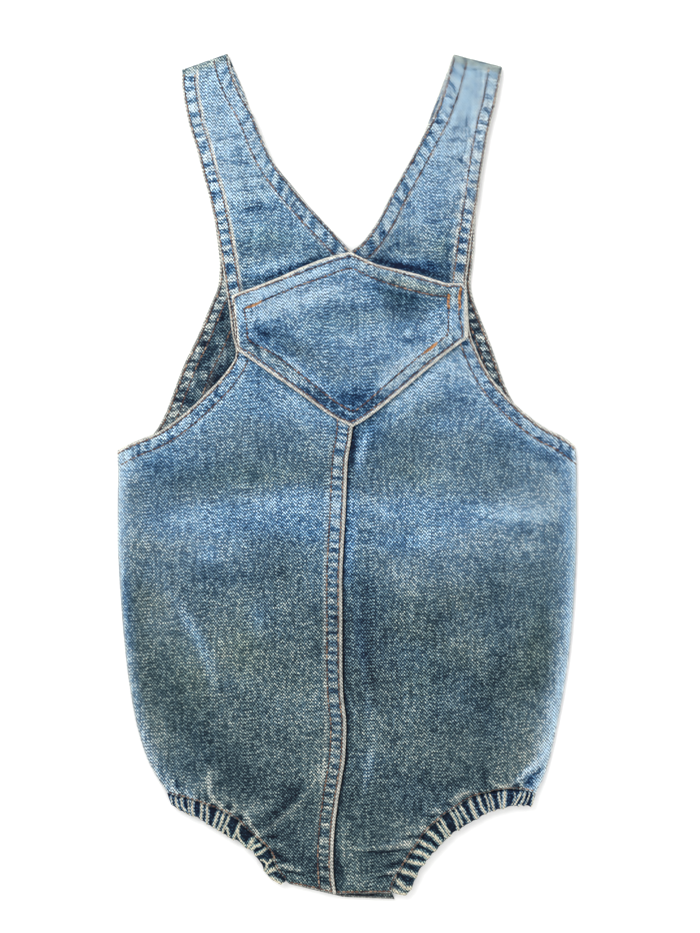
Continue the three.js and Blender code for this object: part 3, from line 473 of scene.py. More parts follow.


# ---- where the dye has worn, and painted shade and highlights on creases, folds and beside the pocket and seams, in pixels of the view from above ---
# (layer, points of a streak, half-width, amount)
WEAR_AND_SHADE_FRONT = [
    # broad blue bands across the body
    ("blue", [(150, 526), (190, 521), (240, 518), (300, 512), (336, 508)], 17, 0.85),
    ("blue", [(262, 500), (300, 496), (336, 498)], 12, 0.45),
    ("blue", [(290, 534), (330, 530)], 12, 0.5),
    ("light", [(172, 520), (205, 519)], 8, 0.35),
    ("blue", [(196, 556), (222, 552)], 10, 0.5),
    ("blue", [(350, 510), (400, 512), (470, 516), (556, 515)], 14, 0.85),
    ("blue", [(350, 540), (400, 541), (450, 540)], 11, 0.5),
    ("light", [(470, 512), (520, 516), (556, 512)], 6, 0.5),
    ("light", [(548, 470), (552, 512)], 12, 0.35),
    # below the pocket
    ("blue", [(262, 384), (300, 408), (332, 428)], 9, 0.85),
    ("light", [(262, 379), (300, 403), (334, 425)], 3.2, 0.55),
    ("blue", [(228, 408), (262, 402), (292, 414)], 14, 0.6),
    ("blue", [(380, 422), (420, 392), (450, 366)], 9, 0.85),
    ("light", [(378, 418), (418, 387), (452, 360)], 3.4, 0.5),
    ("blue", [(436, 380), (462, 372)], 14, 0.5),
    ("blue", [(410, 424), (470, 428)], 8, 0.4),
    ("dark_dye_and_shade", [(446, 402), (476, 408)], 9, 0.25),
    # beside the centre seam: painted shadow beside its ridge and in its troughs, painted highlights on its folds, and
    # worn lines
    ("blue", [(374, 426), (364, 440), (360, 456), (358, 474)], 4.0, 1.0),
    ("light", [(373, 428), (364, 442), (360, 458), (358, 470)], 2.6, 0.55),
    ("dark_dye_and_shade", [(357, 430), (354, 444), (352, 470)], 2.2, 0.7),
    ("blue", [(353, 490), (350, 530), (349, 580)], 6, 0.6),
    ("dark_dye_and_shade", [(366, 560), (366, 640), (372, 700)], 7, 0.28),
    ("blue", [(358, 590), (360, 640), (366, 690), (371, 738)], 4.5, 0.22),
    ("light", [(368, 690), (373, 738), (364, 790), (345, 832)], 2.6, 0.42),
    ("blue", [(373, 738), (364, 790), (345, 832)], 4.5, 0.35),
    ("light", [(331, 436), (329, 470), (326, 540), (325, 640), (327, 720), (322, 790), (314, 850)], 2.2, 0.5),
    ("cream", [(331, 436), (329, 470), (326, 540), (325, 640), (327, 720), (322, 790), (314, 850)], 1.5, 0.28),
    # the long slanting streak at the left: faded dye with a painted highlight along the fold beneath it
    ("blue", [(170, 590), (186, 616), (200, 640), (209, 658), (216, 684)], 6, 0.6),
    ("light", [(170, 590), (186, 616), (200, 640), (209, 658)], 4, 0.35),
    ("light", [(209, 658), (218, 690), (226, 712)], 8, 0.18),
    ("blue", [(244, 612), (272, 616)], 16, 0.35),
    # green-grey tint, and darker parts of the lower body
    ("ochre", [(180, 474), (266, 476), (320, 474)], 12, 0.55),
    ("ochre", [(150, 640), (190, 660), (196, 720)], 22, 0.35),
    ("ochre", [(244, 590), (246, 660), (250, 720)], 14, 0.35),
    ("ochre", [(390, 448), (400, 470), (450, 486)], 12, 0.5),
    ("ochre", [(540, 570), (536, 640), (520, 700)], 16, 0.5),
    ("ochre", [(420, 620), (430, 700)], 24, 0.28),
    ("dark_dye_and_shade", [(170, 700), (200, 740), (240, 760)], 22, 0.16),
    ("dark_dye_and_shade", [(430, 660), (470, 700), (500, 740)], 26, 0.14),
    ("dark_dye_and_shade", [(190, 570), (250, 578), (310, 566)], 9, 0.16),
    ("dark_dye_and_shade", [(400, 580), (480, 590), (540, 600)], 12, 0.12),
    # straps, with painted shadow along the pocket's mouth and painted highlight on the bulge above it
    ("blue", [(196, 84), (208, 120), (222, 168), (240, 214)], 12, 0.7),
    ("light", [(204, 76), (222, 84)], 6, 0.3),
    ("light", [(222, 172), (262, 184)], 5, 0.35),
    ("blue", [(226, 190), (280, 206)], 10, 0.6),
    ("ochre", [(244, 236), (300, 240)], 10, 0.6),
    ("dark_dye_and_shade", [(240, 252), (312, 246)], 5, 0.2),
    ("blue", [(240, 276), (272, 268), (304, 261)], 6, 1.0),
    ("light", [(244, 272), (272, 266), (304, 260)], 3.2, 0.5),
    ("dark_dye_and_shade", [(242, 286), (274, 276), (306, 263), (334, 250)], 3.0, 0.8),
    ("blue", [(474, 80), (462, 122), (440, 170), (412, 220)], 13, 0.75),
    ("ochre", [(446, 236), (440, 256)], 12, 0.7),
    ("dark_dye_and_shade", [(432, 222), (456, 234)], 6, 0.2),
    ("blue", [(392, 262), (424, 266), (444, 270)], 6, 0.7),
    ("light", [(386, 254), (420, 258)], 4, 0.35),
    ("dark_dye_and_shade", [(366, 257), (392, 264), (420, 271), (452, 280)], 3.2, 0.85),
    # wrinkles across the straps: painted shade in their troughs and painted highlights on their ridges
    ("dark_dye_and_shade", [(205, 136), (222, 139), (242, 136)], 1.6, 0.50),
    ("light", [(206, 141), (224, 144), (244, 141)], 1.8, 0.40),
    ("dark_dye_and_shade", [(214, 160), (234, 162), (254, 162)], 1.6, 0.45),
    ("light", [(216, 165), (236, 168), (256, 167)], 1.8, 0.35),
    ("dark_dye_and_shade", [(224, 179), (246, 177), (268, 174)], 1.8, 0.50),
    ("light", [(226, 184), (248, 182), (270, 179)], 1.8, 0.35),
    ("dark_dye_and_shade", [(228, 191), (250, 190), (271, 187)], 1.6, 0.40),
    ("dark_dye_and_shade", [(230, 211), (256, 209), (282, 206)], 2.6, 0.50),
    ("dark_dye_and_shade", [(476, 117), (466, 118), (458, 121)], 2.0, 0.50),
    ("light", [(476, 122), (466, 124)], 2.0, 0.50),
    ("dark_dye_and_shade", [(474, 137), (464, 138), (452, 141)], 2.0, 0.55),
    ("light", [(474, 143), (462, 145)], 2.0, 0.50),
    ("dark_dye_and_shade", [(470, 160), (460, 162), (446, 164)], 2.2, 0.50),
    ("dark_dye_and_shade", [(468, 179), (456, 181)], 2.0, 0.50),
    ("light", [(468, 186), (456, 188), (446, 190)], 2.6, 0.60),
    ("dark_dye_and_shade", [(466, 212), (452, 214)], 2.0, 0.50),
    ("light", [(466, 219), (456, 221), (444, 222)], 2.6, 0.60),
    # small creases above the casings: painted shade in their troughs, painted highlights on their ridges, and worn
    # cream on the ridges' tops
    ("light", [(171, 785), (179, 795)], 2.4, 0.9),
    ("cream", [(171, 785), (178, 793)], 1.2, 0.35),
    ("dark_dye_and_shade", [(176, 772), (177.5, 784), (181, 795)], 1.5, 1.0),
    ("dark_dye_and_shade", [(182, 780), (184, 794)], 1.3, 0.9),
    ("light", [(184, 789), (197, 800)], 2.2, 0.9),
    ("blue", [(184, 789), (197, 800)], 3.2, 0.6),
    ("light", [(214, 764), (209.5, 778), (210, 790), (213, 797), (219, 804), (224, 809)], 2.6, 0.9),
    ("cream", [(212, 770), (210, 788), (214, 798), (221, 806)], 1.3, 0.40),
    ("dark_dye_and_shade", [(206.5, 786), (208, 802)], 1.2, 1.0),
    ("dark_dye_and_shade", [(212, 804), (220, 809)], 2.0, 0.8),
    ("dark_dye_and_shade", [(226, 803), (231, 811)], 2.8, 0.9),
    ("dark_dye_and_shade", [(231.5, 796), (232, 809)], 1.8, 0.6),
    ("light", [(234, 792), (236, 813)], 1.8, 0.7),
    ("dark_dye_and_shade", [(239, 812), (244, 822)], 2.0, 1.0),
    ("light", [(245, 812), (254, 827), (260, 836)], 2.6, 0.9),
    ("cream", [(246, 814), (254, 827), (259, 834)], 1.2, 0.35),
    ("dark_dye_and_shade", [(250, 822), (260, 828)], 2.4, 0.8),
    ("light", [(330, 758), (312, 784), (290, 808), (268, 827), (259, 834)], 5.6, 0.55),
    ("cream", [(300, 800), (276, 821), (262, 832)], 1.8, 0.20),
    ("dark_dye_and_shade", [(304, 782), (286, 802), (266, 819), (252, 824)], 6.0, 0.60),
    ("dark_dye_and_shade", [(262, 836), (279, 835.5)], 1.4, 1.0),
    ("light", [(266, 839), (289, 847)], 3.2, 0.55),
    ("dark_dye_and_shade", [(274, 851), (281, 857), (290, 861)], 2.6, 0.9),
    ("light", [(278, 864), (294, 868), (306, 870)], 2.2, 0.8),
    ("cream", [(278, 864), (296, 868)], 1.3, 0.35),
    ("dark_dye_and_shade", [(278, 869), (294, 872), (308, 876)], 1.3, 1.0),
    ("light", [(284, 875), (306, 880)], 2.2, 0.6),
    ("light", [(296, 884), (332, 893)], 2.2, 0.55),
    ("cream", [(292, 884), (334, 894)], 1.5, 0.55),
    ("blue", [(560, 732), (551, 750), (526, 770), (510, 785)], 3.0, 1.0),
    ("light", [(560, 732), (551, 750), (526, 770), (510, 785)], 2.2, 1.0),
    ("cream", [(548, 752), (526, 770), (512, 784)], 1.2, 0.45),
    ("light", [(541, 780), (535, 794)], 1.6, 1.0),
    ("blue", [(541, 776), (535, 794)], 4.0, 0.9),
    ("dark_dye_and_shade", [(545, 764), (532, 778), (518, 788)], 3.8, 0.95),
    ("dark_dye_and_shade", [(530, 776), (532, 790)], 4.0, 0.8),
    ("blue", [(530, 774), (530, 790)], 5.0, 0.9),
    ("light", [(522, 777), (520, 788)], 1.0, 1.0),
    ("dark_dye_and_shade", [(513, 781), (518, 788)], 2.2, 0.9),
    ("light", [(494, 782), (504, 785), (512, 786)], 3.2, 0.8),
    ("cream", [(496, 783), (510, 786)], 1.5, 0.3),
    ("dark_dye_and_shade", [(483.5, 762), (484, 778), (485, 791)], 1.3, 1.0),
    ("dark_dye_and_shade", [(474, 786), (480, 792)], 2.2, 0.9),
    ("light", [(448, 800), (463, 790.5), (478, 790)], 3.4, 0.95),
    ("cream", [(450, 799), (463, 791), (474, 790)], 1.8, 0.45),
    ("dark_dye_and_shade", [(445, 803), (454, 806)], 2.2, 1.0),
    ("light", [(426, 811), (436, 809), (443, 812)], 2.4, 0.8),
    ("cream", [(428, 811), (438, 810)], 1.3, 0.3),
    ("dark_dye_and_shade", [(424, 813), (433, 815), (438, 816)], 1.8, 0.8),
    ("light", [(419, 818), (424, 823)], 2.4, 0.6),
    ("dark_dye_and_shade", [(404, 836.5), (412, 834.5), (421, 837)], 1.8, 1.0),
    ("light", [(404, 842.5), (418, 842)], 2.4, 0.7),
    ("light", [(338, 848), (352, 848.5), (372, 847), (400, 843), (414, 834)], 4.2, 0.66),
    ("blue", [(350, 846), (380, 843), (404, 838)], 5.0, 0.7),
    ("cream", [(386, 846), (404, 843), (414, 838)], 2.0, 0.30),
    ("dark_dye_and_shade", [(352, 850.5), (386, 850), (415, 847.5)], 1.3, 1.1),
    ("dark_dye_and_shade", [(386, 866), (396, 863), (404, 861)], 2.4, 0.9),
    ("light", [(384, 873.5), (399, 868.5)], 2.2, 0.9),
    ("cream", [(386, 873), (398, 869)], 1.2, 0.40),
    ("dark_dye_and_shade", [(376, 877), (397, 873.5)], 1.4, 1.0),
    ("light", [(350, 882), (388, 884)], 4.0, 0.35),
    ("light", [(347, 888.8), (380, 888.8)], 1.2, 0.5),
    ("dark_dye_and_shade", [(338, 846), (340, 866), (342, 888)], 3.0, 0.7),
    ("ochre", [(286, 880), (300, 886), (318, 892), (336, 895)], 3.0, 1.0),
    ("cream", [(290, 884), (304, 888), (320, 893), (336, 895.5)], 1.5, 0.55),
    ("dark_dye_and_shade", [(340, 893.2), (366, 893), (392, 894)], 1.3, 1.3),
    ("light", [(345, 876), (380, 878)], 2.6, 0.35),
    # thread run out between the legs
    ("ochre", [(344, 890), (366, 891), (384, 893)], 2.0, 1.2),
    ("cream", [(392, 886), (398, 892)], 3.0, 0.6),
]
# broad light and dark parts of the body, partly faded dye and partly painted shade and light on its folds and beside
# the pocket: (points, half-width, light, blue)
TONE_FRONT = [
    ([(196, 84), (216, 150), (232, 200)], 18, 0.44, 0.45),
    ([(212, 96), (232, 150), (246, 192)], 14, 0.10, 0.35),
    ([(212, 118), (240, 124)], 3.5, 0.22, 0.20),
    ([(214, 146), (246, 142)], 3.5, 0.24, 0.20),
    ([(222, 172), (258, 168)], 3.0, 0.22, 0.20),
    ([(228, 196), (272, 194)], 6.0, 0.32, 0.40),
    ([(228, 210), (262, 206)], 5.0, -0.24, 0.0),
    ([(232, 232), (300, 236)], 18, 0.0, 0.30),
    ([(476, 92), (466, 140), (452, 170)], 14, 0.0, 0.35),
    ([(452, 184), (440, 230)], 18, 0.0, 0.22),
    ([(222, 76), (246, 130), (262, 170)], 16, 0.36, 0.35),
    ([(484, 84), (470, 140), (456, 186)], 16, 0.30, 0.35),
    ([(462, 84), (446, 130), (420, 180)], 16, 0.40, 0.35),
    ([(232, 226), (270, 230), (316, 236)], 16, 0.20, 0.15),
    ([(276, 190), (300, 222)], 12, 0.04, 0.20),
    ([(384, 226), (410, 210), (440, 236)], 16, 0.28, 0.05),
    ([(240, 262), (300, 252)], 9, 0.20, 0.10),
    ([(124, 444), (128, 480)], 12, 0.30, 0.0),
    ([(392, 416), (424, 388), (452, 366)], 12, 0.36, 0.05),
    ([(470, 372), (486, 396)], 10, 0.20, 0.0),
    ([(276, 398), (300, 420), (330, 440)], 10, 0.10, 0.0),
    ([(260, 506), (300, 504), (332, 504)], 14, 0.30, 0.05),
    ([(350, 506), (390, 508)], 12, 0.20, 0.05),
    ([(500, 508), (552, 506)], 13, 0.30, 0.10),
    ([(430, 536), (480, 544), (524, 546)], 13, 0.28, 0.10),
    ([(140, 540), (190, 546), (240, 548)], 12, 0.20, 0.05),
    ([(122, 596), (124, 640)], 10, -0.24, 0.0),
    ([(160, 680), (192, 722), (224, 752)], 20, -0.34, 0.0),
    ([(130, 604), (140, 640)], 14, -0.16, 0.0),
    ([(390, 572), (450, 574)], 14, 0.22, 0.0),
    ([(352, 260), (400, 268), (442, 270)], 9, -0.46, 0.0),
    ([(236, 770), (246, 780)], 12, -0.34, 0.0),
    ([(398, 804), (410, 800)], 12, -0.30, 0.0),
    ([(124, 396), (180, 404)], 10, -0.20, 0.0),
    ([(236, 340), (262, 372)], 9, -0.30, 0.0),
    ([(400, 780), (440, 786), (470, 778)], 16, -0.34, 0.0),
    ([(420, 808), (444, 800)], 12, -0.36, 0.0),
    ([(280, 440), (240, 470), (160, 470)], 16, -0.20, 0.0),
    ([(360, 440), (400, 450)], 14, -0.22, 0.0),
    ([(520, 432), (500, 440)], 8, -0.30, 0.0),
    ([(224, 700), (260, 724), (300, 744)], 24, -0.36, 0.0),
    ([(240, 764), (270, 784), (310, 800)], 22, -0.42, 0.0),
    ([(345, 590), (346, 680), (350, 780)], 22, -0.42, 0.0),
    ([(384, 610), (386, 700), (390, 780)], 24, -0.32, 0.0),
    ([(436, 590), (440, 680), (440, 770)], 26, -0.40, 0.0),
    ([(496, 590), (498, 680), (484, 760)], 26, -0.42, 0.0),
    ([(540, 600), (540, 660), (530, 710)], 14, -0.26, 0.0),
    ([(284, 836), (316, 870)], 22, -0.80, -0.45),
    ([(364, 416), (382, 410), (374, 428)], 9, -0.60, 0.0),
    ([(526, 447), (556, 459)], 8, -0.40, 0.0),
    ([(410, 590), (470, 586), (512, 584)], 15, 0.34, -0.05),
    ([(404, 616), (424, 622)], 12, 0.20, 0.0),
    ([(446, 644), (488, 650)], 18, 0.26, 0.0),
    ([(440, 690), (458, 700)], 14, 0.26, 0.0),
    ([(174, 758), (192, 766)], 12, -0.42, 0.0),
    ([(220, 786), (258, 790)], 12, -0.40, 0.0),
    ([(284, 784), (308, 790)], 12, -0.24, 0.0),
    ([(410, 820), (424, 812)], 9, -0.30, 0.0),
    ([(130, 470), (132, 560), (138, 660), (150, 720)], 12, 0.0, -0.22),
    ([(356, 812), (376, 850), (372, 884)], 26, -0.62, -0.42),
]
# broad light and dark parts of the pocket, partly faded dye and partly painted shade and light on its folds: (points,
# half-width, light, blue)
TONE_POCKET = [
    ([(246, 316), (290, 304), (346, 286), (366, 292)], 12, 0.20, 0.60),
    ([(300, 322), (340, 318), (380, 312)], 14, 0.34, 0.10),
    ([(300, 344), (350, 346)], 14, 0.14, 0.10),
    ([(430, 312), (444, 330)], 12, 0.30, 0.0),
    ([(252, 330), (286, 336)], 10, -0.26, 0.0),
    ([(392, 300), (414, 304)], 10, -0.30, 0.0),
    ([(392, 334), (410, 338)], 9, -0.22, 0.0),
    ([(380, 386), (420, 356), (446, 340)], 10, 0.34, 0.0),
    ([(310, 394), (334, 403), (354, 409), (376, 395)], 11, -0.56, 0.10),
    ([(250, 360), (300, 394), (351, 420), (400, 386), (452, 346)], 6, -0.30, 0.0),
    ([(318, 402), (351, 420), (380, 400)], 5, -0.26, 0.0),
    ([(262, 296), (330, 268), (350, 262)], 5, -0.12, 0.15),
    ([(262, 330), (300, 330), (350, 330), (400, 336)], 26, -0.05, 0.32),
    ([(246, 300), (256, 296)], 9, 0.20, 0.0),
    ([(374, 286), (410, 294), (444, 300)], 10, -0.36, -0.35),
    ([(258, 346), (300, 352)], 12, -0.26, -0.35),
    ([(392, 314), (420, 320)], 10, -0.20, -0.25),
    ([(248, 319), (276, 312), (304, 303), (336, 293)], 5.5, 0.42, 0.25),
    ([(338, 340), (372, 334), (426, 326)], 7, 0.20, 0.25),
]
# worn dye of the pocket, with painted shade in its troughs and painted highlights on its ridges: (layer, points of a
# streak, half-width, amount)
WEAR_AND_SHADE_POCKET = [
    ("blue", [(250, 318), (280, 308), (312, 296), (350, 290), (372, 300)], 8, 1.0),
    ("light", [(256, 312), (290, 301), (330, 290), (352, 284)], 3.4, 0.5),
    ("blue", [(300, 306), (350, 302), (372, 304)], 7, 0.7),
    ("ochre", [(372, 290), (400, 298), (436, 304)], 6, 0.8),
    ("dark_dye_and_shade", [(378, 290), (430, 302)], 3.0, 0.25),
    ("blue", [(430, 316), (446, 316)], 5, 0.9),
    ("ochre", [(290, 330), (350, 318), (400, 320)], 14, 0.40),
    ("dark_dye_and_shade", [(280, 331), (330, 312), (380, 308), (434, 312)], 7, 0.34),
    ("blue", [(330, 364), (352, 356), (410, 334), (430, 328)], 13, 0.65),
    ("dark_dye_and_shade", [(340, 392), (352, 398), (364, 388)], 8, 0.55),
    ("blue", [(336, 384), (352, 392), (368, 380)], 9, 0.8),
    ("dark_dye_and_shade", [(254, 328), (266, 336), (272, 336)], 3.0, 0.5),
    ("light", [(268, 340), (276, 344)], 3.4, 0.6),
    ("light", [(252, 330), (258, 338)], 3.2, 0.45),
    ("light", [(286, 358), (298, 368)], 3.6, 0.5),
    ("cream", [(296, 364), (302, 372)], 2.6, 0.3),
    ("light", [(382, 378), (402, 362), (418, 350)], 4.6, 0.55),
    ("cream", [(386, 377), (404, 361)], 2.6, 0.25),
    ("light", [(396, 338), (420, 330)], 3.0, 0.3),
    ("dark_dye_and_shade", [(404, 344), (420, 338)], 2.4, 0.3),
    # the hem along the mouth
    ("blue", [(252, 298), (290, 283), (330, 268), (348, 264), (360, 268)], 6, 0.75),
    ("light", [(244, 302), (290, 283), (330, 268), (350, 264)], 4.6, 0.55),
    ("ochre", [(376, 274), (420, 288), (452, 294)], 4.6, 0.35),
    ("light", [(376, 274), (420, 288), (452, 294)], 3.2, 0.25),
    ("blue", [(455, 306), (456, 334)], 5, 0.9),
]


# paints worn dye together with painted shade and painted highlights from the given tables
def wear_and_shade(x, y, table, tones):
    out = {k: np.zeros(np.shape(x)) for k in LAYERS}
    for line, half, light, blue in tones:
        amount = stroke(x, y, mm(line), half * PX, 0)
        out["light"] += light * amount
        out["blue"] += blue * amount
    py = 476.3 - y / PX
    out["blue"] += -0.12 + 0.46 * (1 - 0.25 * ramp(430, 480, py) - 0.75 * ramp(530, 640, py)) - 0.08 * ramp(640, 760, py) - 0.28 * ramp(800, 860, py)
    out["light"] += 0.20 * ramp(650, 740, 476.3 - y / PX)
    for key, line, half, amount in table:
        out[key] += amount * stroke(x, y, mm(line), half * PX)
    return out


# ---- soft ridges and troughs of the laid-down cloth ----------------------------
# (points in pixels, half-width in pixels, rise in millimetres)
FOLDS = [
    ([(259, 829), (276, 815), (300, 797), (324, 766)], 9, 1.5),
    ([(352, 848), (396, 845), (416, 837)], 8, 1.3),
    ([(556, 738), (551, 750), (526, 770), (510, 785)], 8, 1.5),
    ([(538, 764), (530, 780)], 9, -1.0),
    ([(171, 589), (199, 640), (225, 691)], 20, 0.9),
    ([(364, 585), (362, 660), (360, 750)], 14, -0.9),
    ([(212, 762), (209.5, 778), (210, 790), (219, 804), (224, 809)], 3.6, 1.1),
    ([(206.5, 784), (208, 802)], 2.0, -0.8),
    ([(176, 770), (177.5, 784), (181, 795)], 2.0, -1.0),
    ([(170, 780), (178, 794)], 3.0, 0.7),
    ([(182, 782), (184, 794)], 1.8, -0.7),
    ([(185, 789), (197, 800)], 3.0, 0.8),
    ([(212, 804), (220, 809)], 2.4, -0.6),
    ([(226, 803), (231, 811)], 3.0, -0.8),
    ([(234, 792), (236, 813)], 2.6, 0.7),
    ([(239, 812), (244, 822)], 2.4, -0.8),
    ([(245, 812), (254, 827), (259, 835)], 3.0, 0.9),
    ([(250, 822), (260, 828)], 3.0, -0.6),
    ([(262, 836), (279, 835.5)], 2.0, -0.9),
    ([(266, 839), (289, 847)], 3.6, 0.6),
    ([(274, 851), (281, 857), (290, 861)], 3.0, -0.8),
    ([(278, 864), (306, 870)], 2.6, 0.7),
    ([(278, 869), (308, 876)], 1.8, -0.8),
    ([(483.5, 762), (485, 791)], 2.0, -1.0),
    ([(494, 782), (512, 786)], 3.6, 0.9),
    ([(513, 781), (518, 788)], 2.6, -0.9),
    ([(448, 800), (463, 790.5), (478, 790)], 3.6, 1.1),
    ([(445, 803), (454, 806)], 2.4, -0.9),
    ([(426, 811), (436, 809), (443, 812)], 2.8, 0.8),
    ([(424, 813), (438, 816)], 2.2, -0.6),
    ([(404, 836.5), (421, 837)], 2.2, -0.8),
    ([(404, 842.5), (418, 842)], 3.0, 0.6),
    ([(352, 851), (386, 850.5), (415, 848)], 1.9, -1.1),
    ([(386, 866), (404, 861)], 3.0, -0.8),
    ([(384, 873.5), (399, 868.5)], 2.8, 0.8),
    ([(376, 877), (397, 873.5)], 1.8, -0.7),
    ([(522, 777), (520, 788)], 1.6, 0.7),
    ([(541, 776), (535, 794)], 2.4, 0.9),
    ([(338, 848), (341, 888)], 3.5, -0.5),
    # soft wrinkles across the straps
    ([(198, 94), (226, 88)], 2.6, -0.3),
    ([(205, 137), (242, 136)], 2.0, -0.8),
    ([(214, 161), (254, 162)], 2.0, -0.8),
    ([(222, 176), (262, 190)], 3.0, 0.4),
    ([(228, 210), (280, 206)], 3.0, -0.7),
    ([(224, 178), (268, 174)], 2.2, -0.7),
    ([(468, 92), (482, 94)], 2.0, -0.4),
    ([(458, 119), (478, 117)], 2.2, -0.8),
    ([(446, 164), (470, 160)], 2.4, -0.8),
    ([(446, 189), (468, 186)], 2.6, 0.7),
    ([(444, 221), (466, 219)], 2.6, 0.7),
    ([(452, 130), (472, 126)], 4.0, -0.4),
    ([(446, 142), (460, 132)], 3.0, 0.4),
    ([(440, 154), (466, 156)], 2.4, -0.4),
    # bib and straps
    ([(242, 278), (304, 263)], 6, 0.5),
    ([(386, 256), (440, 262)], 7, 0.4),
    ([(222, 176), (264, 188)], 7, 0.35),
    ([(226, 228), (300, 234)], 8, -0.3),
    ([(420, 214), (470, 224)], 7, 0.3),
    ([(262, 384), (332, 428)], 7, 0.45),
    ([(380, 422), (450, 366)], 7, 0.45),
    ([(374, 426), (360, 456)], 4, 0.5),
    # long faint waves of the body
    ([(140, 560), (150, 640), (160, 720)], 16, 0.5),
    ([(300, 560), (296, 660), (300, 740)], 22, 0.5),
    ([(250, 470), (220, 530), (215, 580)], 26, 0.4),
    ([(430, 500), (446, 600), (430, 700)], 26, 0.6),
    ([(520, 600), (515, 680), (500, 750)], 18, 0.5),
    ([(480, 560), (474, 660)], 18, -0.4),
]


def fold_rise(x, y):
    z = np.zeros(np.shape(x))
    for line, half, rise in FOLDS:
        z += rise * stroke(x, y, mm(line), half * PX)
    return z


# ---- gathers of the casings: points in pixels, half-width in pixels, rise -------
RIDGES_LEFT = [
    ([(171.5, 795.6), (173.0, 803.8)], 0.9, 0.8),
    ([(176.2, 796.5), (177.0, 802.5), (180.0, 809.4)], 1.2, 1.0),
    ([(181.8, 797.5), (182.8, 804.4), (187.2, 811.9)], 1.1, 1.0),
    ([(188.5, 798.8), (189.5, 805.0), (189.8, 813.5)], 0.9, 0.85),
    ([(193.0, 800.2), (192.8, 808.8), (194.0, 814.8)], 1.4, 1.0),
    ([(202.0, 803.8), (202.2, 811.2), (201.5, 818.5)], 1.3, 1.0),
    ([(207.8, 805.6), (207.8, 815.0), (207.2, 822.5)], 1.3, 1.0),
    ([(218.5, 811.2), (216.2, 818.8), (213.8, 826.2)], 1.3, 1.0),
    ([(224.8, 811.0), (221.8, 821.2), (218.2, 829.8)], 1.4, 1.0),
    ([(230.0, 814.0), (227.0, 821.2), (224.2, 826.9), (223.2, 832.2)], 1.2, 1.0),
    ([(224.8, 827.2), (228.0, 826.9), (229.2, 834.8)], 1.1, 0.9),
    ([(239.8, 823.1), (235.8, 833.1), (233.0, 839.0)], 1.3, 1.0),
    ([(238.5, 828.8), (239.0, 835.0), (244.8, 845.2)], 1.2, 0.9),
    ([(253.5, 838.5), (249.5, 843.8), (247.5, 848.1)], 2.0, 1.0),
    ([(260.5, 843.5), (255.2, 844.8), (251.5, 848.5)], 1.4, 1.0),
    ([(266.5, 847.5), (261.0, 851.0), (256.0, 853.5)], 1.4, 1.0),
    ([(271.8, 859.0), (267.5, 862.2), (264.8, 858.8), (262.2, 858.2)], 1.2, 0.9),
    ([(267.5, 862.2), (266.8, 866.2), (264.0, 870.2)], 1.2, 0.9),
    ([(276.5, 867.5), (271.5, 868.5), (268.0, 871.2)], 2.0, 0.8),
    ([(271.5, 876.9), (277.1, 880.6), (281.5, 883.1)], 2.4, 0.9),
    ([(280.2, 871.2), (287.8, 877.5), (290.2, 882.5)], 1.6, 0.7),
]

RIDGES_RIGHT = [
    ([(533.8, 792.2), (532.5, 798.8), (531.0, 805.6)], 1.0, 0.9),
    ([(529.2, 792.5), (527.0, 798.8), (523.5, 805.0)], 0.8, 0.9),
    ([(524.5, 792.2), (522.0, 799.4), (518.2, 805.2)], 1.0, 1.0),
    ([(520.5, 791.5), (517.0, 798.1), (513.8, 804.0)], 1.1, 1.0),
    ([(513.8, 791.0), (514.8, 796.2), (511.0, 803.8)], 0.8, 0.8),
    ([(504.2, 791.0), (503.8, 798.8), (503.0, 807.8)], 1.6, 1.0),
    ([(498.0, 791.5), (499.0, 798.8), (500.2, 806.8)], 1.1, 0.9),
    ([(489.2, 793.1), (491.5, 801.2), (493.8, 809.8)], 1.2, 1.0),
    ([(484.8, 793.5), (487.5, 801.2), (489.2, 810.8)], 1.0, 0.9),
    ([(478.2, 795.6), (480.8, 805.0), (485.5, 813.2)], 1.4, 0.95),
    ([(468.8, 798.8), (472.2, 807.5), (476.0, 816.5)], 1.9, 1.0),
    ([(459.5, 803.8), (463.5, 811.9), (469.0, 820.2)], 1.8, 0.8),
    ([(454.1, 806.5), (458.5, 815.0), (462.0, 824.0)], 1.1, 1.0),
    ([(449.5, 809.8), (455.0, 818.1), (458.5, 829.0)], 1.2, 1.0),
    ([(439.8, 817.2), (444.5, 824.4), (450.0, 834.8)], 1.4, 1.0),
    ([(436.0, 821.2), (441.0, 828.1), (447.0, 836.5)], 1.1, 0.9),
    ([(439.0, 827.5), (443.5, 828.8), (444.8, 838.8)], 0.9, 0.7),
    ([(426.8, 830.0), (434.2, 835.0), (440.2, 841.5)], 2.0, 1.0),
    ([(420.5, 841.0), (428.5, 844.2), (435.0, 849.0)], 1.9, 1.0),
    ([(412.8, 850.2), (421.0, 851.2), (428.0, 855.8)], 2.1, 1.0),
    ([(407.2, 860.0), (415.5, 861.2), (424.2, 863.0)], 1.7, 1.0),
    ([(402.2, 870.2), (409.2, 871.2), (416.8, 875.5)], 2.0, 0.95),
    ([(398.0, 880.0), (404.8, 886.2), (412.8, 887.8)], 2.4, 0.8),
    ([(393.5, 888.8), (399.8, 892.5), (404.8, 893.1)], 2.4, 0.8),
]


def ridge_rise(x, y, ridges, wide=1.0):
    """How far a place is up on a gather, 0 in the valleys and 1 on a ridge."""
    out = np.zeros(np.shape(x))
    for line, half, rise in ridges:
        off, _, _ = near_line(x, y, mm(line))
        out = np.maximum(out, rise * bump(off, half * wide * PX))
    return out


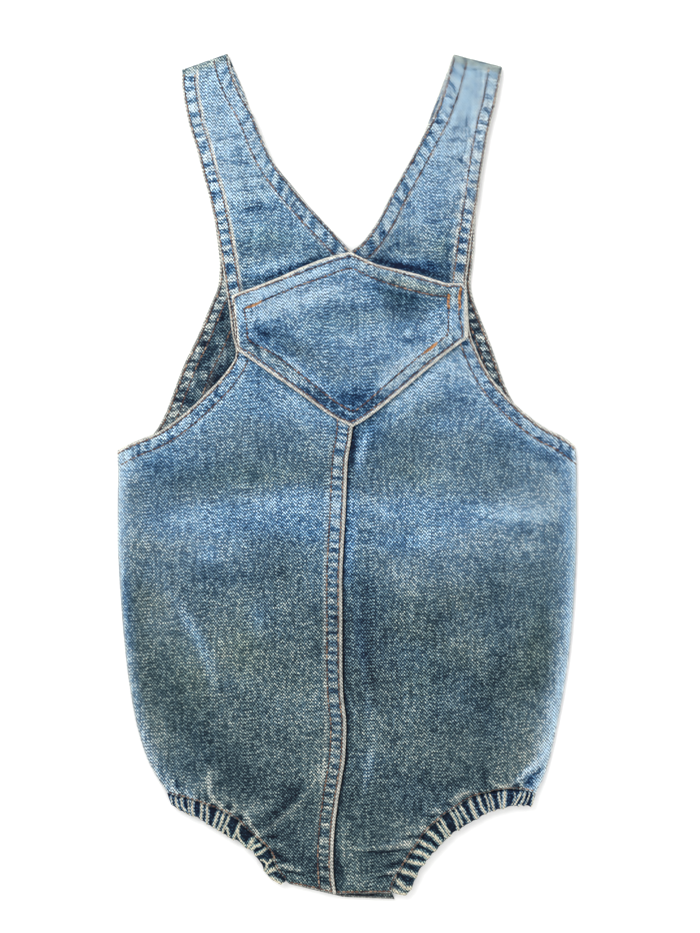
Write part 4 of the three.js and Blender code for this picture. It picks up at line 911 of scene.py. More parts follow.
def leg_runs(leg, ridges):
    """Where each gather meets the leg line, as a distance along it."""
    line = [tuple(p) for p in along(leg, [0, 1], np.linspace(0, 1, 120))]
    out = []
    for points, half, rise in ridges:
        px, py = at(*points[0])
        off, run, _ = near_line(np.array([px]), np.array([py]), line)
        if off[0] < 4.5:
            out.append((float(run[0]), half * PX, rise))
    return out


# ---- front halves ----------------------------------------------------------------
ROW_STEP = 1.25
CORNER = 19     # side seam meets the armhole
V_POINT = 9     # point of the neck


def edge_ends(rows, leg, shift, s):
    """Both ends of the rows at places s down a front or back half."""
    legs = [(i, r[1]) for i, r in enumerate(rows) if r[0] is None]
    ex, ey = [], []
    for r in rows:
        p = along(leg, [0, 1], r[1])[0] if r[0] is None else (r[0], r[1])
        ex.append(p[0]); ey.append(p[1])
    first, last = legs[0][0], legs[-1][0]
    corner = CORNER if len(rows) == len(FRONT_LEFT) else CORNER - 1
    v = V_POINT if len(rows) == len(FRONT_LEFT) else V_POINT - 1
    breaks = (corner, first, last)
    ox, oy = pieced(ex, breaks, s), pieced(ey, breaks, s)
    on_leg = (s >= first) & (s <= last)
    t = np.interp(s[on_leg], [i for i, _ in legs], [t for _, t in legs])
    ox[on_leg], oy[on_leg] = along(leg, [0, 1], t).T
    ix = pieced([r[2] + (shift if i >= v else 0) for i, r in enumerate(rows)], (v,), s)
    iy = pieced([r[3] for r in rows], (v,), s)
    return ox, oy, ix, iy


def row_places(rows, leg, shift, step):
    dense = np.linspace(0, len(rows) - 1, 6000)
    ox, oy, ix, iy = edge_ends(rows, leg, shift, dense)
    pace = np.maximum(np.hypot(np.diff(ox), np.diff(oy)), np.hypot(np.diff(ix), np.diff(iy)))
    total = np.concatenate([[0], np.cumsum(pace)])
    s = np.interp(np.linspace(0, total[-1], int(total[-1] / step) + 1), total, dense)
    for k in [i for i, r in enumerate(rows) if i in (V_POINT - 1, V_POINT, CORNER - 1, CORNER)]:
        s[np.argmin(abs(s - k))] = k
    return np.unique(s)


def above_leg(leg, x, y, past, d):
    """Rows beside the leg line bow with it, so none of them crosses it."""
    line = sorted((r[0], r[1]) for r in leg)
    leg_y = np.interp(x, [p[0] for p in line], [p[1] for p in line])
    near = (past > -2) & (past < 2) & (x >= line[0][0]) & (x <= line[-1][0])
    return np.where(near, np.maximum(y, leg_y + 0.8 * (2 - past) * ramp(0, 6, d)), y)


def across(width, hem, seam, counts):
    """Distances from the outer edge, one row of columns for each width."""
    h = np.minimum(hem, width * 0.32)[:, None]
    e = np.minimum(seam, width * 0.34)[:, None]
    a, b, c = counts
    w = width[:, None]
    return np.concatenate([h * np.linspace(0, 1, a + 1)[None],
                           h + (w - h - e) * np.linspace(0, 1, b + 1)[None, 1:],
                           w - e + e * np.linspace(0, 1, c + 1)[None, 1:]], axis=1)


def roping(run, d, a, b, seed, pitch=4.6, slant=0.35):
    """Uneven slanting puckers between two rows of stitches."""
    phase = (run + slant * (d - a)) / pitch + 0.55 * noise1(run / 9.0, seed)
    inside = ramp(a - 0.2, a + 0.9, d) * (1 - ramp(b - 0.9, b + 0.2, d))
    return np.sin(2 * math.pi * phase) * inside * (0.65 + 0.5 * noise1(run / 14.0, seed + 1))


def checks(run, d, a, b, seed, pitch=4.9, slant=0.5):
    """Pale and dark patches between two rows of stitches, -1 to 1."""
    phase = (run + slant * (d - a)) / pitch + 0.7 * noise1(run / 13.0, seed) + 0.07 * noise2(run / 1.3, d / 1.3, seed + 1)
    inside_rows = ramp(a + 0.1, a + 1.0, d) * (1 - ramp(b - 1.0, b - 0.1, d))
    return np.tanh(2.6 * np.sin(2 * math.pi * phase) + 0.3 + 0.9 * noise1(run / 7.0, seed + 2)) * inside_rows


def hem_row_1(s):
    return 1.2 + 0.5 * ramp(13, 14.5, s)


def hem_row_2(s):
    return 7.1 + 0.8 * ramp(13, 14.5, s)


def front_half(rows, leg, folds, strap, turned, shift):
    s = row_places(rows, leg, shift, ROW_STEP)
    ox, oy, ix, iy = edge_ends(rows, leg, shift, s)
    width = np.hypot(ix - ox, iy - oy)
    d = across(width, 8.4, 9.6, (12, 66, 13))
    u = d / width[:, None]
    e = width[:, None] - d
    x = ox[:, None] + (ix - ox)[:, None] * u
    y = oy[:, None] + (iy - oy)[:, None] * u
    col = lambda k: pieced([r[k] for r in rows], (CORNER, 30), s)[:, None]
    oz, iz, crown, hem, seam = col(4), col(5), col(6), col(7), col(8)
    S = s[:, None] + 0 * u
    y = above_leg(leg, x, y, S - 30, d)
    def edge_of(ex, ey, s0, s1, skip=3):
        keep = np.flatnonzero((s >= s0 - 1e-6) & (s <= s1 + 1e-6))
        keep = np.unique(np.append(keep[::skip], keep[-1]))
        return list(zip(ex[keep], ey[keep]))

    da, run_out, _ = near_line(x, y, edge_of(ox, oy, 0, CORNER))          # strap and armhole
    dn, run_in, _ = near_line(x, y, edge_of(ix, iy, 0, V_POINT))          # neck
    ds, run_mid, _ = near_line(x, y, edge_of(ix, iy, V_POINT, len(rows) - 1))  # centre seam
    db, run_side, _ = near_line(x, y, edge_of(ox, oy, CORNER, 30))        # side seam
    foot, _, _ = near_line(x, y, [(ox[-1], oy[-1]), (ix[-1], iy[-1])])    # hem between the legs

    low = oz + (iz - oz) * ramp(0, 1, np.sqrt(u)) + crown * np.sin(math.pi * u)
    below = ramp(11.5, 13.0, S)
    rise = fold_rise(x, y) * ramp(0, 0.05, u)
    low = low + rise * (0.35 + 0.65 * below)
    low = low + (0.35 * noise2(x / 34, y / 34, 1) + 0.16 * noise2(x / 13, y / 17, 2)) * ramp(0, 0.1, u) * (0.4 + 0.6 * below)

    # puckers that run in from the leg line
    line = along(leg, [0, 1], np.linspace(0, 1, 46))
    off, run, total = near_line(x, y, [tuple(p) for p in line])
    pucker = np.zeros(x.shape)
    for k, (centre, half, rise_k) in enumerate(leg_runs(leg, folds)):
        lean = 0.35 * noise1(np.array([k * 3.7 + 0.5]), 3)[0]
        pucker = np.maximum(pucker, rise_k * bump(run - centre + lean * off, half * (1.3 + off / 4)) * np.exp(-off / (1.6 + 1.5 * (k * 7 % 5) / 4)))
    pucker *= ramp(28.6, 30.0, S) * (S < 40.6)
    low = low + 0.75 * pucker

    start = ramp(0.0, 0.8, S)
    neck = (1 - ramp(9.0, 9.6, S))
    seamed = ramp(8.95, 9.05, S) * (1.0 if not turned else 0.0)
    d1, d2 = hem_row_1(S), hem_row_2(S)
    e2 = 8.4
    top = low + CLOTH
    hem_step = (1 - ramp(0.5, 1.5, da - d2))
    top = top + 0.9 * start * np.maximum(hem_step, neck * (1 - ramp(e2 + 0.5, e2 + 1.4, dn)))
    top = top + seamed * 0.75 * (1 - ramp(e2 + 0.4, e2 + 1.5, ds)) * (1 - hem_step)
    top = top + seamed * 0.55 * bump(ds - 0.75, 0.8)   # the ridge of the felled seam
    top = top + 0.5 * (1 - ramp(5.0, 6.0, foot))
    top = top - 0.55 * (1 - ramp(0, 1.0, da)) - 0.45 * (1 - ramp(0, 1.4, db)) - 0.35 * (1 - ramp(0, 1.0, foot))
    top = top - 0.35 * neck * (1 - ramp(0, 0.8, dn)) - 0.2 * seamed * (1 - ramp(0, 0.6, ds))
    if turned:                                        # the right half dives under the felled seam
        top = top - ramp(8.95, 9.05, S) * 0.35 * (1 - ramp(0, 2.2, ds))
    groove_d1, groove_d2 = bump(da - d1, 0.42), bump(da - d2, 0.45)
    groove_n1, groove_n2 = bump(dn - 1.4, 0.42) * neck, bump(dn - e2, 0.45) * neck
    groove_s1, groove_s2 = bump(ds - 2.2, 0.42) * seamed, bump(ds - e2, 0.45) * seamed
    top = top - start * (0.18 * groove_d1 + 0.28 * groove_d2 + 0.18 * groove_n1 + 0.26 * groove_n2)
    top = top - (0.18 * groove_s1 + 0.28 * groove_s2)
    rope_d = roping(run_out, da, d1, d2, 3) * start
    rope_n = roping(run_in, dn, 1.4, e2, 5, 5.4, -0.3) * neck * start
    rope_s = roping(run_mid, ds, 2.2, e2, 6, 4.4, 0.2) * seamed
    top = top + 0.20 * rope_d + 0.20 * rope_n + 0.20 * rope_s
    # cloth beyond the second row is pulled into small dimples
    pull = bump(da - d2 - 1.6, 1.5) * np.sin(2 * math.pi * run_out / 5.2 + 3 * noise1(run_out / 12, 6)) * start
    pull += bump(dn - e2 - 1.6, 1.5) * np.sin(2 * math.pi * run_in / 5.0 + 3 * noise1(run_in / 12, 7)) * neck
    pull += bump(ds - e2 - 1.6, 1.5) * np.sin(2 * math.pi * run_mid / 5.0 + 3 * noise1(run_mid / 12, 7)) * seamed
    top = top + 0.12 * pull

    # wear and dye, with painted shade and painted highlights in grooves, creases, puckers and beside the seams
    lay = wear_and_shade(x, y, WEAR_AND_SHADE_FRONT, TONE_FRONT)
    body = ramp(19.0, 19.4, S)
    rim = ramp(20, 29, S) * (0.5 if turned else 0.1)
    lay["light"] += (0.75 * bump(db, 2.4) + (0.45 + rim) * bump(db, 5.0 + 6 * rim)) * (1 - 0.6 * ramp(21, 25, S) * (0 if turned else 1))
    lay["blue"] += (0.7 + 0.3 * turned) * bump(db, 6.5 + 4 * rim)
    lay["cream"] += 0.55 * bump(db, 1.1)
    strap_part = 1 - ramp(9.5, 12.5, S)
    lay["cream"] += start * (1.0 * bump(da, 0.85) + 0.15 * bump(da, 2.0))
    lay["cream"] += ramp(10.2, 11.5, S) * 0.6 * bump(da, 1.5)
    if turned:
        lay["cream"] += ramp(4.5, 6.5, S) * (1 - ramp(12, 13, S)) * 1.0 * bump(da, 1.6)
    lay["cream"] += neck * (0.9 * bump(dn, 0.8)) + seamed * 1.25 * bump(ds - 0.7, 0.95)
    # a worn line just inside the second row
    lay["cream"] += start * (0.20 + (0.15 if turned else 0.80) * strap_part) * bump(da - d2 - 1.25, 0.70) * (0.85 + 0.4 * noise1(run_out / 6, 4))
    lay["cream"] += neck * 0.40 * bump(dn - e2 - 1.0, 0.5) * (0.6 + 0.8 * noise1(run_in / 7, 5))
    fine = noise2(run_out / 1.7, da / 2.2, 4) + 0.8 * noise2(run_out / 0.8, da / 1.1, 5)
    at_arm = ramp(11.5, 13.5, S)
    arm_band = ramp(0.1, 1.0, da - d1) * (1 - ramp(-1.0, -0.1, da - d2)) * at_arm
    lay["light"] += arm_band * (0.22 + 0.42 * fine)
    lay["dark_dye_and_shade"] += arm_band * (0.10 - 0.26 * fine)
    lay["blue"] += arm_band * 0.55
    lay["cream"] += arm_band * 0.14 * np.clip(fine - 0.2, 0, 1)
    for cells, gain in ((checks(run_out, da, d1, d2, 3, 6.7, 0.12) * start * (1 - 0.75 * at_arm), 1.0),
                        (checks(run_in, dn, 1.4, e2, 5, 6.2, -0.5) * neck * start, 0.55),
                        (checks(run_mid, ds, 2.2, e2, 6, 5.2, 0.15) * seamed, 0.60)):
        pale, dim = np.clip(cells, 0, None) * gain, np.clip(-cells, 0, None) * gain
        lay["light"] += 1.05 * pale - 0.10 * dim
        lay["cream"] += 0.34 * pale
        lay["dark_dye_and_shade"] += 0.34 * dim
        lay["blue"] += 0.55 * dim + 0.20 * pale
    if turned:                                        # pale patches beside the strap's second row
        beside = ramp(0.4, 1.0, da - d2) * (1 - ramp(2.5, 5.5, da - d2)) * (1 - ramp(8, 10.5, S)) * start
        spots = np.clip(np.sin(2 * math.pi * (run_out / 6.8 + 0.5 * noise1(run_out / 13.0, 6))) + 0.4 * noise2(run_out / 2, da / 2, 7), 0, 1)
        lay["light"] += 0.8 * beside * spots
        lay["cream"] += 0.3 * beside * spots
        dark_spots = np.clip(noise2(x / 4.5 + y / 9, y / 3.2, 6) - 0.15, 0, 1) * (1 - ramp(9, 11, S)) * ramp(0.5, 2, da - d2)
        lay["dark_dye_and_shade"] += 0.8 * dark_spots
        lay["blue"] += 0.6 * dark_spots
    top_end = (1 - ramp(0.15, 0.9, S))
    lay["ochre"] += 0.35 * top_end
    lay["blue"] -= 0.45 * top_end
    lay["light"] += 0.25 * top_end
    lay["cream"] += 0.8 * start * (1 - ramp(0.10, 0.35, S))
    lay["light"] += top_end * 0.3 * noise2(x / 9, y / 1.4, 4)
    # painted shade in the stitch grooves; the lighter patches on the dimples beyond the second row are partly wear and
    # partly painted highlight
    lay["dark_dye_and_shade"] += start * (0.35 * groove_d1 + 0.40 * groove_d2 + 0.30 * groove_n1 + 0.35 * groove_n2) + 0.35 * groove_s1 + 0.40 * groove_s2
    lay["light"] += start * 0.35 * bump(da - d2 - 1.5, 0.9) * (0.7 + 0.6 * np.sin(2 * math.pi * run_out / 5.2 + 3 * noise1(run_out / 12, 6)))
    lay["blue"] += at_arm * 0.70 * np.exp(-np.clip(da - d2, 0, None) / 8.0) * ramp(0, 1.0, da - d2)
    lay["light"] += at_arm * 0.30 * np.exp(-np.clip(da - d2, 0, None) / 7.0) * ramp(0, 1.0, da - d2)
    lay["light"] += (neck * 0.35) * bump(dn - e2 - 1.5, 0.9)
    # painted shadow on the right half beside the felled seam
    if turned:
        lay["dark_dye_and_shade"] += ramp(8.95, 9.05, S) * 0.9 * bump(ds, 1.3)
    lay["cream"] += 0.9 * bump(foot, 0.9) * (0.6 + 0.5 * noise2(x / 5, y / 5, 2))
    # pucker tops lighter, partly wear and partly painted highlight; painted shadow along the leg line between the
    # puckers
    lay["light"] += 1.5 * np.clip(pucker - 0.12, 0, 1)
    lay["cream"] += 0.45 * np.clip(pucker - 0.3, 0, 1)
    lay["dark_dye_and_shade"] += ramp(29.2, 30.0, S) * (S < 40.6) * bump(off, 3.2) * np.clip(0.60 - 2.0 * pucker, 0, 1) * 0.95
    cloud = noise2(x / 20, y / 26, 3)
    lay["light"] += 0.10 * cloud + 0.07 * noise2(x / 7, y / 9, 4)
    lay["blue"] += 0.14 * noise2(x / 24, y / 15, 5)
    lay["ochre"] += 0.20 * np.clip(noise2(x / 30, y / 22, 6), 0, 1)

    outer = np.stack([x, y, top], -1)
    inner = np.stack([x, y, low + 0 * x], -1)
    # strap's fold at the shoulder and its return behind
    radius = FOLD_HEIGHT / 2
    ax, ay = ix[0] - ox[0], iy[0] - oy[0]
    length = math.hypot(ax, ay)
    ux, uy = (ay / length, -ax / length) if turned else (-ay / length, ax / length)
    curl_o, curl_i = [], []
    turns = [(1.0, r) for r in np.linspace(FOLD_RETURN, 0.9, 5)] + [(t, 0.0) for t in np.linspace(1.0, 0.06, 13)]
    for turn, back in turns:
        angle = math.pi * turn
        for keep, r in ((curl_o, radius), (curl_i, radius - CLOTH)):
            keep.append(np.stack([x[0] + ux * r * math.sin(angle) + strap[0] * back,
                                  y[0] + uy * r * math.sin(angle) + strap[1] * back,
                                  np.full(x.shape[1], radius + r * math.cos(angle) + (0.30 if keep is curl_o else 0.0) * ramp(0.85, 1.0, turn))], -1))
    outer = np.concatenate([np.array(curl_o), outer])
    inner = np.concatenate([np.array(curl_i), inner])
    k = len(turns)
    full = {}
    for key in LAYERS:
        head = np.repeat(lay[key][:1], k, axis=0)
        if key == "cream":
            head = head + 0.25 * bump(np.array([t - 0.4 for t, _ in turns])[:, None], 0.3)
        # the underside takes a flat painted shade
        full[key] = (np.concatenate([head, lay[key]]), np.zeros(outer.shape[:2]) + (0.35 if key == "dark_dye_and_shade" else 0.0))
    grid = dict(x=x, y=y, d=d, s=s, top=top, ox=ox, oy=oy, ix=ix, iy=iy, width=width, low=low)
    return outer, inner, full, grid


# ---- back ----------------------------------------------------------------------
INSIDE_SHADE = 0.52            # painted shade: how much darker the back's inside is painted, in the hollow under the front


def back_panel():
    s = row_places(BACK_LEFT, LEG_LEFT, 0.0, 1.5)
    halves = []
    for rows, leg, turned in ((BACK_LEFT, LEG_LEFT, False), (BACK_RIGHT, LEG_RIGHT, True)):
        ox, oy, ix, iy = edge_ends(rows, leg, 0.0, s)
        width = np.hypot(ix - ox, iy - oy)
        d = across(width, 9.0, 9.4, (10, 34, 10))
        u = d / width[:, None]
        e = width[:, None] - d
        x = ox[:, None] + (ix - ox)[:, None] * u
        y = oy[:, None] + (iy - oy)[:, None] * u
        S = s[:, None] + 0 * u
        y = above_leg(leg, x, y, S - 29, d)
        side_off = d
        arm = [(a, b) for a, b in zip(ox[s <= 18.01], oy[s <= 18.01])][::3] + [(ox[s <= 18.01][-1], oy[s <= 18.01][-1])]
        d, run_out, _ = near_line(x, y, arm)
        sewn = 1.0
        neck = 1 - ramp(7.9, 8.05, S)
        foot = np.hypot(x - x[-1:], y - y[-1:]) * ramp(33.5, 34.5, S) + 99 * (S <= 33.5)
        top = np.full(x.shape, CLOTH + 0.08)
        top = top + 0.9 * np.maximum(sewn * (1 - ramp(8.2, 9.0, d)), neck * (1 - ramp(8.6, 9.4, e)))
        top = top + 0.8 * (1 - ramp(5.6, 6.6, foot)) * ramp(35.0, 35.4, S)
        top = top - 0.35 * sewn * (1 - ramp(0, 0.9, d)) - 0.35 * neck * (1 - ramp(0, 0.9, e))
        top = top - 0.16 * sewn * (bump(d - 1.5, 0.45) + bump(d - 6.8, 0.45)) - 0.12 * sewn * bump(d - 15.4, 0.5)
        rope = roping(run_out, d, 1.5, 6.8, 2) * sewn
        top = top + 0.14 * rope
        top = top + 0.16 * bump(d - 17.2, 0.7) * sewn
        low = np.full(x.shape, LIFT)
        low = low + 0.10 * sewn * (bump(d - 1.3, 0.4) + bump(d - 7.6, 0.4)) + 0.10 * neck * (bump(e - 1.4, 0.4) + bump(e - 8.4, 0.4))
        low = low + 0.28 * (1 - ramp(0, 1.0, d)) + 0.25 * neck * (1 - ramp(0, 0.9, e))
        low = low - 0.07 * roping(run_out, d, 1.3, 7.6, 4) * sewn + 0.04 * noise2(x / 9, y / 12, 5)
        up = {k: np.zeros(x.shape) for k in LAYERS}
        patch = noise2(x / 4.2, y / 6.5, 2) + 0.6 * noise2(x / 2.1, y / 2.6, 5)
        up["dark_dye_and_shade"] += INSIDE_SHADE - 0.32 * patch
        up["light"] += 0.40 * np.clip(patch, 0, None) + 0.12 * noise2(x / 9, y / 9, 3)
        up["cream"] += 0.24 * np.clip(patch - 0.25, 0, None)
        up["cream"] += 1.1 * bump(d, 0.9) + 0.22 * bump(d, 2.4) + neck * 0.8 * bump(e, 0.8)
        up["cream"] += 0.50 * bump(d - 17.2, 0.9) * (0.7 + 0.6 * noise1(run_out / 9, 2))
        cells = checks(run_out, d, 1.5, 6.8, 2, 5.5)
        up["light"] += 0.55 * np.clip(cells, 0, None) + 0.15 * bump(d - 4, 3)
        up["cream"] += 0.20 * np.clip(cells, 0, None)
        up["dark_dye_and_shade"] -= 0.30 * np.clip(cells, -0.4, None)
        up["light"] += 0.45 * bump(d - 11, 2.4) * (0.3 + 0.9 * np.clip(noise2(x / 4, y / 9, 6), 0, 1))
        # painted shade in the stitch grooves
        up["dark_dye_and_shade"] += 0.35 * (bump(d - 1.5, 0.5) + bump(d - 6.8, 0.5))
        up["cream"] += 0.9 * bump(foot, 0.8) * (S > 35)
        up["ochre"] += 1.3 * (1 - ramp(5, 7, foot)) * (S > 33)
        up["light"] -= 0.55 * (1 - ramp(5, 7, foot)) * (S > 33)
        up["cream"] += 0.35 * bump(foot - 4.2, 1.2) * (S > 33)
        shoulder = 1 - ramp(6.5, 9.0, S)              # the straps' backs are paler
        up["dark_dye_and_shade"] -= 0.45 * shoulder
        up["blue"] += 0.75 * shoulder
        up["light"] += 0.35 * shoulder
        down = {k: np.zeros(x.shape) for k in LAYERS}
        side = ramp(17.6, 18.4, S) * (1 - ramp(28.8, 29.2, S))
        down["light"] += side * 0.7 * bump(side_off, 3.2) + 0.10 * noise2(x / 20, y / 26, 3) + 0.07 * noise2(x / 7, y / 9, 4)
        down["blue"] += side * 0.7 * bump(side_off, 8) + 0.35 * stroke(x, y, mm([(150, 560), (340, 545), (556, 556)]), 14)
        down["blue"] += 0.4 * stroke(x, y, mm([(210, 150), (250, 300)]), 16) + 0.16 * noise2(x / 24, y / 15, 5)
        down["blue"] += 0.5 * stroke(x, y, mm([(180, 690), (340, 660), (520, 700)]), 12)
        down["cream"] += sewn * 0.9 * bump(d, 0.9) + neck * 0.8 * bump(e, 0.8) + side * 0.5 * bump(side_off, 1.1)
        # painted shade in the stitch grooves
        down["dark_dye_and_shade"] += 0.3 * sewn * (bump(d - 1.3, 0.45) + bump(d - 7.6, 0.45)) + 0.3 * neck * (bump(e - 1.4, 0.45) + bump(e - 8.4, 0.45))
        down["ochre"] += 0.25 * np.clip(noise2(x / 30, y / 22, 6), 0, 1)
        down["cream"] += 0.9 * bump(foot, 0.8) * (S > 35)
        low = low + 0.28 * (1 - ramp(0, 1.0, side_off)) * (S > 18) * (S < 29.3)
        halves.append((x, y, top, low, up, down, dict(ox=ox, oy=oy, ix=ix, iy=iy, width=width, s=s)))
    (lx, ly, lt, ll, lu, ld, lg), (rx, ry, rt, rl, ru, rd, rg) = halves
    # the halves share their centre column below the point of the neck
    n, cols = lx.shape
    left_id = np.arange(n * cols).reshape(n, cols)
    m = rx.shape[1]
    right_id = n * cols + np.arange(n * m).reshape(n, m)
    whole = s >= 8 - 1e-6
    right_id[whole, -1] = left_id[whole, -1]
    quads = []
    for ids, turned in ((left_id, False), (right_id, True)):
        q = np.stack([ids[:-1, :-1], ids[1:, :-1], ids[1:, 1:], ids[:-1, 1:]], -1).reshape(-1, 4)
        quads.append(q[:, ::-1] if turned else q)
    quads = np.concatenate(quads)
    stack = lambda a, b: np.concatenate([a.ravel(), b.ravel()])
    outer = np.stack([stack(lx, rx), stack(ly, ry), stack(lt, rt)], -1)
    inner = np.stack([stack(lx, rx), stack(ly, ry), stack(ll, rl)], -1)
    layers = {k: (stack(lu[k], ru[k]), stack(ld[k], rd[k])) for k in LAYERS}
    return outer, inner, quads, layers, lg, rg


def closed(outer, inner, quads):
    """Faces of a wall between two skins that share their quads."""
    n = len(outer)
    a, b = quads.ravel(), np.roll(quads, -1, axis=1).ravel()
    key, back_key = a.astype(np.int64) * n + b, b.astype(np.int64) * n + a
    open_edge = ~np.isin(key, back_key)
    p, q = a[open_edge], b[open_edge]
    rim = np.stack([p, p + n, q + n, q], -1)
    return np.concatenate([quads, quads[:, ::-1] + n, rim])


# ---- pocket ----------------------------------------------------------------------
POCKET_OUTER = [(330, 263), (338, 261), (347, 258), (355, 258), (365, 263), (371.5, 266), (382, 269), (390, 271), (420, 280), (434, 284),
                (447.6, 287.5), (460, 287), (460.8, 290), (460, 299), (458.5, 307), (458, 314), (460, 322), (462, 333), (461, 338), (454, 343),
                (446, 350), (434, 358), (383.5, 401), (370, 411), (359, 419), (350, 422.4), (339, 418), (327, 410), (316, 401), (255.6, 357),
                (248, 352), (240, 348), (238, 346), (237, 339), (237, 330), (236, 321), (234, 312), (233.6, 304.5), (235, 299), (240, 296),
                (250.5, 292), (266, 286.6), (281, 281), (330, 263)]
POCKET_INNER = [(244.4, 309), (261.7, 302), (271, 298), (286, 292), (300, 286), (330, 275.6), (338, 272), (349, 269.4), (353, 269.4), (361, 273),
                (371.5, 278.5), (384, 283), (390, 285), (420, 293.5), (434, 296), (448, 297.5), (448.5, 309), (448, 319), (447.6, 327), (448, 335),
                (440, 341), (433.8, 345), (423.4, 354), (420, 355.5), (368, 401), (359, 408.6), (352.5, 412), (341.6, 406), (333, 400.6), (280, 358),
                (266, 350), (255.6, 345), (248, 340), (247.4, 328.5), (246.4, 319), (244.4, 309)]


def inside(x, y, line):
    """Whether a place is within a closed outline."""
    hit = np.zeros(np.shape(x), bool)
    for (ax, ay), (bx, by) in zip(line, np.roll(line, -1, axis=0)):
        if ay == by:
            continue
        cross = (ay > y) != (by > y)
        hit ^= cross & (x < (bx - ax) * (y - ay) / (by - ay) + ax)
    return hit


def height_map(trees, x0, x1, y0, y1, step, reach, blur):
    """Highest skin on a square grid, widened and then softened."""
    xs, ys = np.arange(x0, x1, step), np.arange(y0, y1, step)
    z = np.full((len(ys), len(xs)), -1.0)
    for j, yy in enumerate(ys):
        for i, xx in enumerate(xs):
            h = drop(trees, xx, yy)
            if h is not None:
                z[j, i] = h
    for _ in range(reach):
        pad = np.pad(z, 1, mode="edge")
        z = np.max([pad[a:a + z.shape[0], b:b + z.shape[1]] for a in range(3) for b in range(3)], axis=0)
    for _ in range(blur):
        pad = np.pad(z, 1, mode="edge")
        z = np.mean([pad[a:a + z.shape[0], b:b + z.shape[1]] for a in range(3) for b in range(3)], axis=0)

    def read(x, y):
        i = np.clip((x - x0) / step, 0, len(xs) - 1.001)
        j = np.clip((y - y0) / step, 0, len(ys) - 1.001)
        a, b = i.astype(int), j.astype(int)
        fx, fy = i - a, j - b
        return ((z[b, a] * (1 - fx) + z[b, a + 1] * fx) * (1 - fy)
                + (z[b + 1, a] * (1 - fx) + z[b + 1, a + 1] * fx) * fy)
    return read


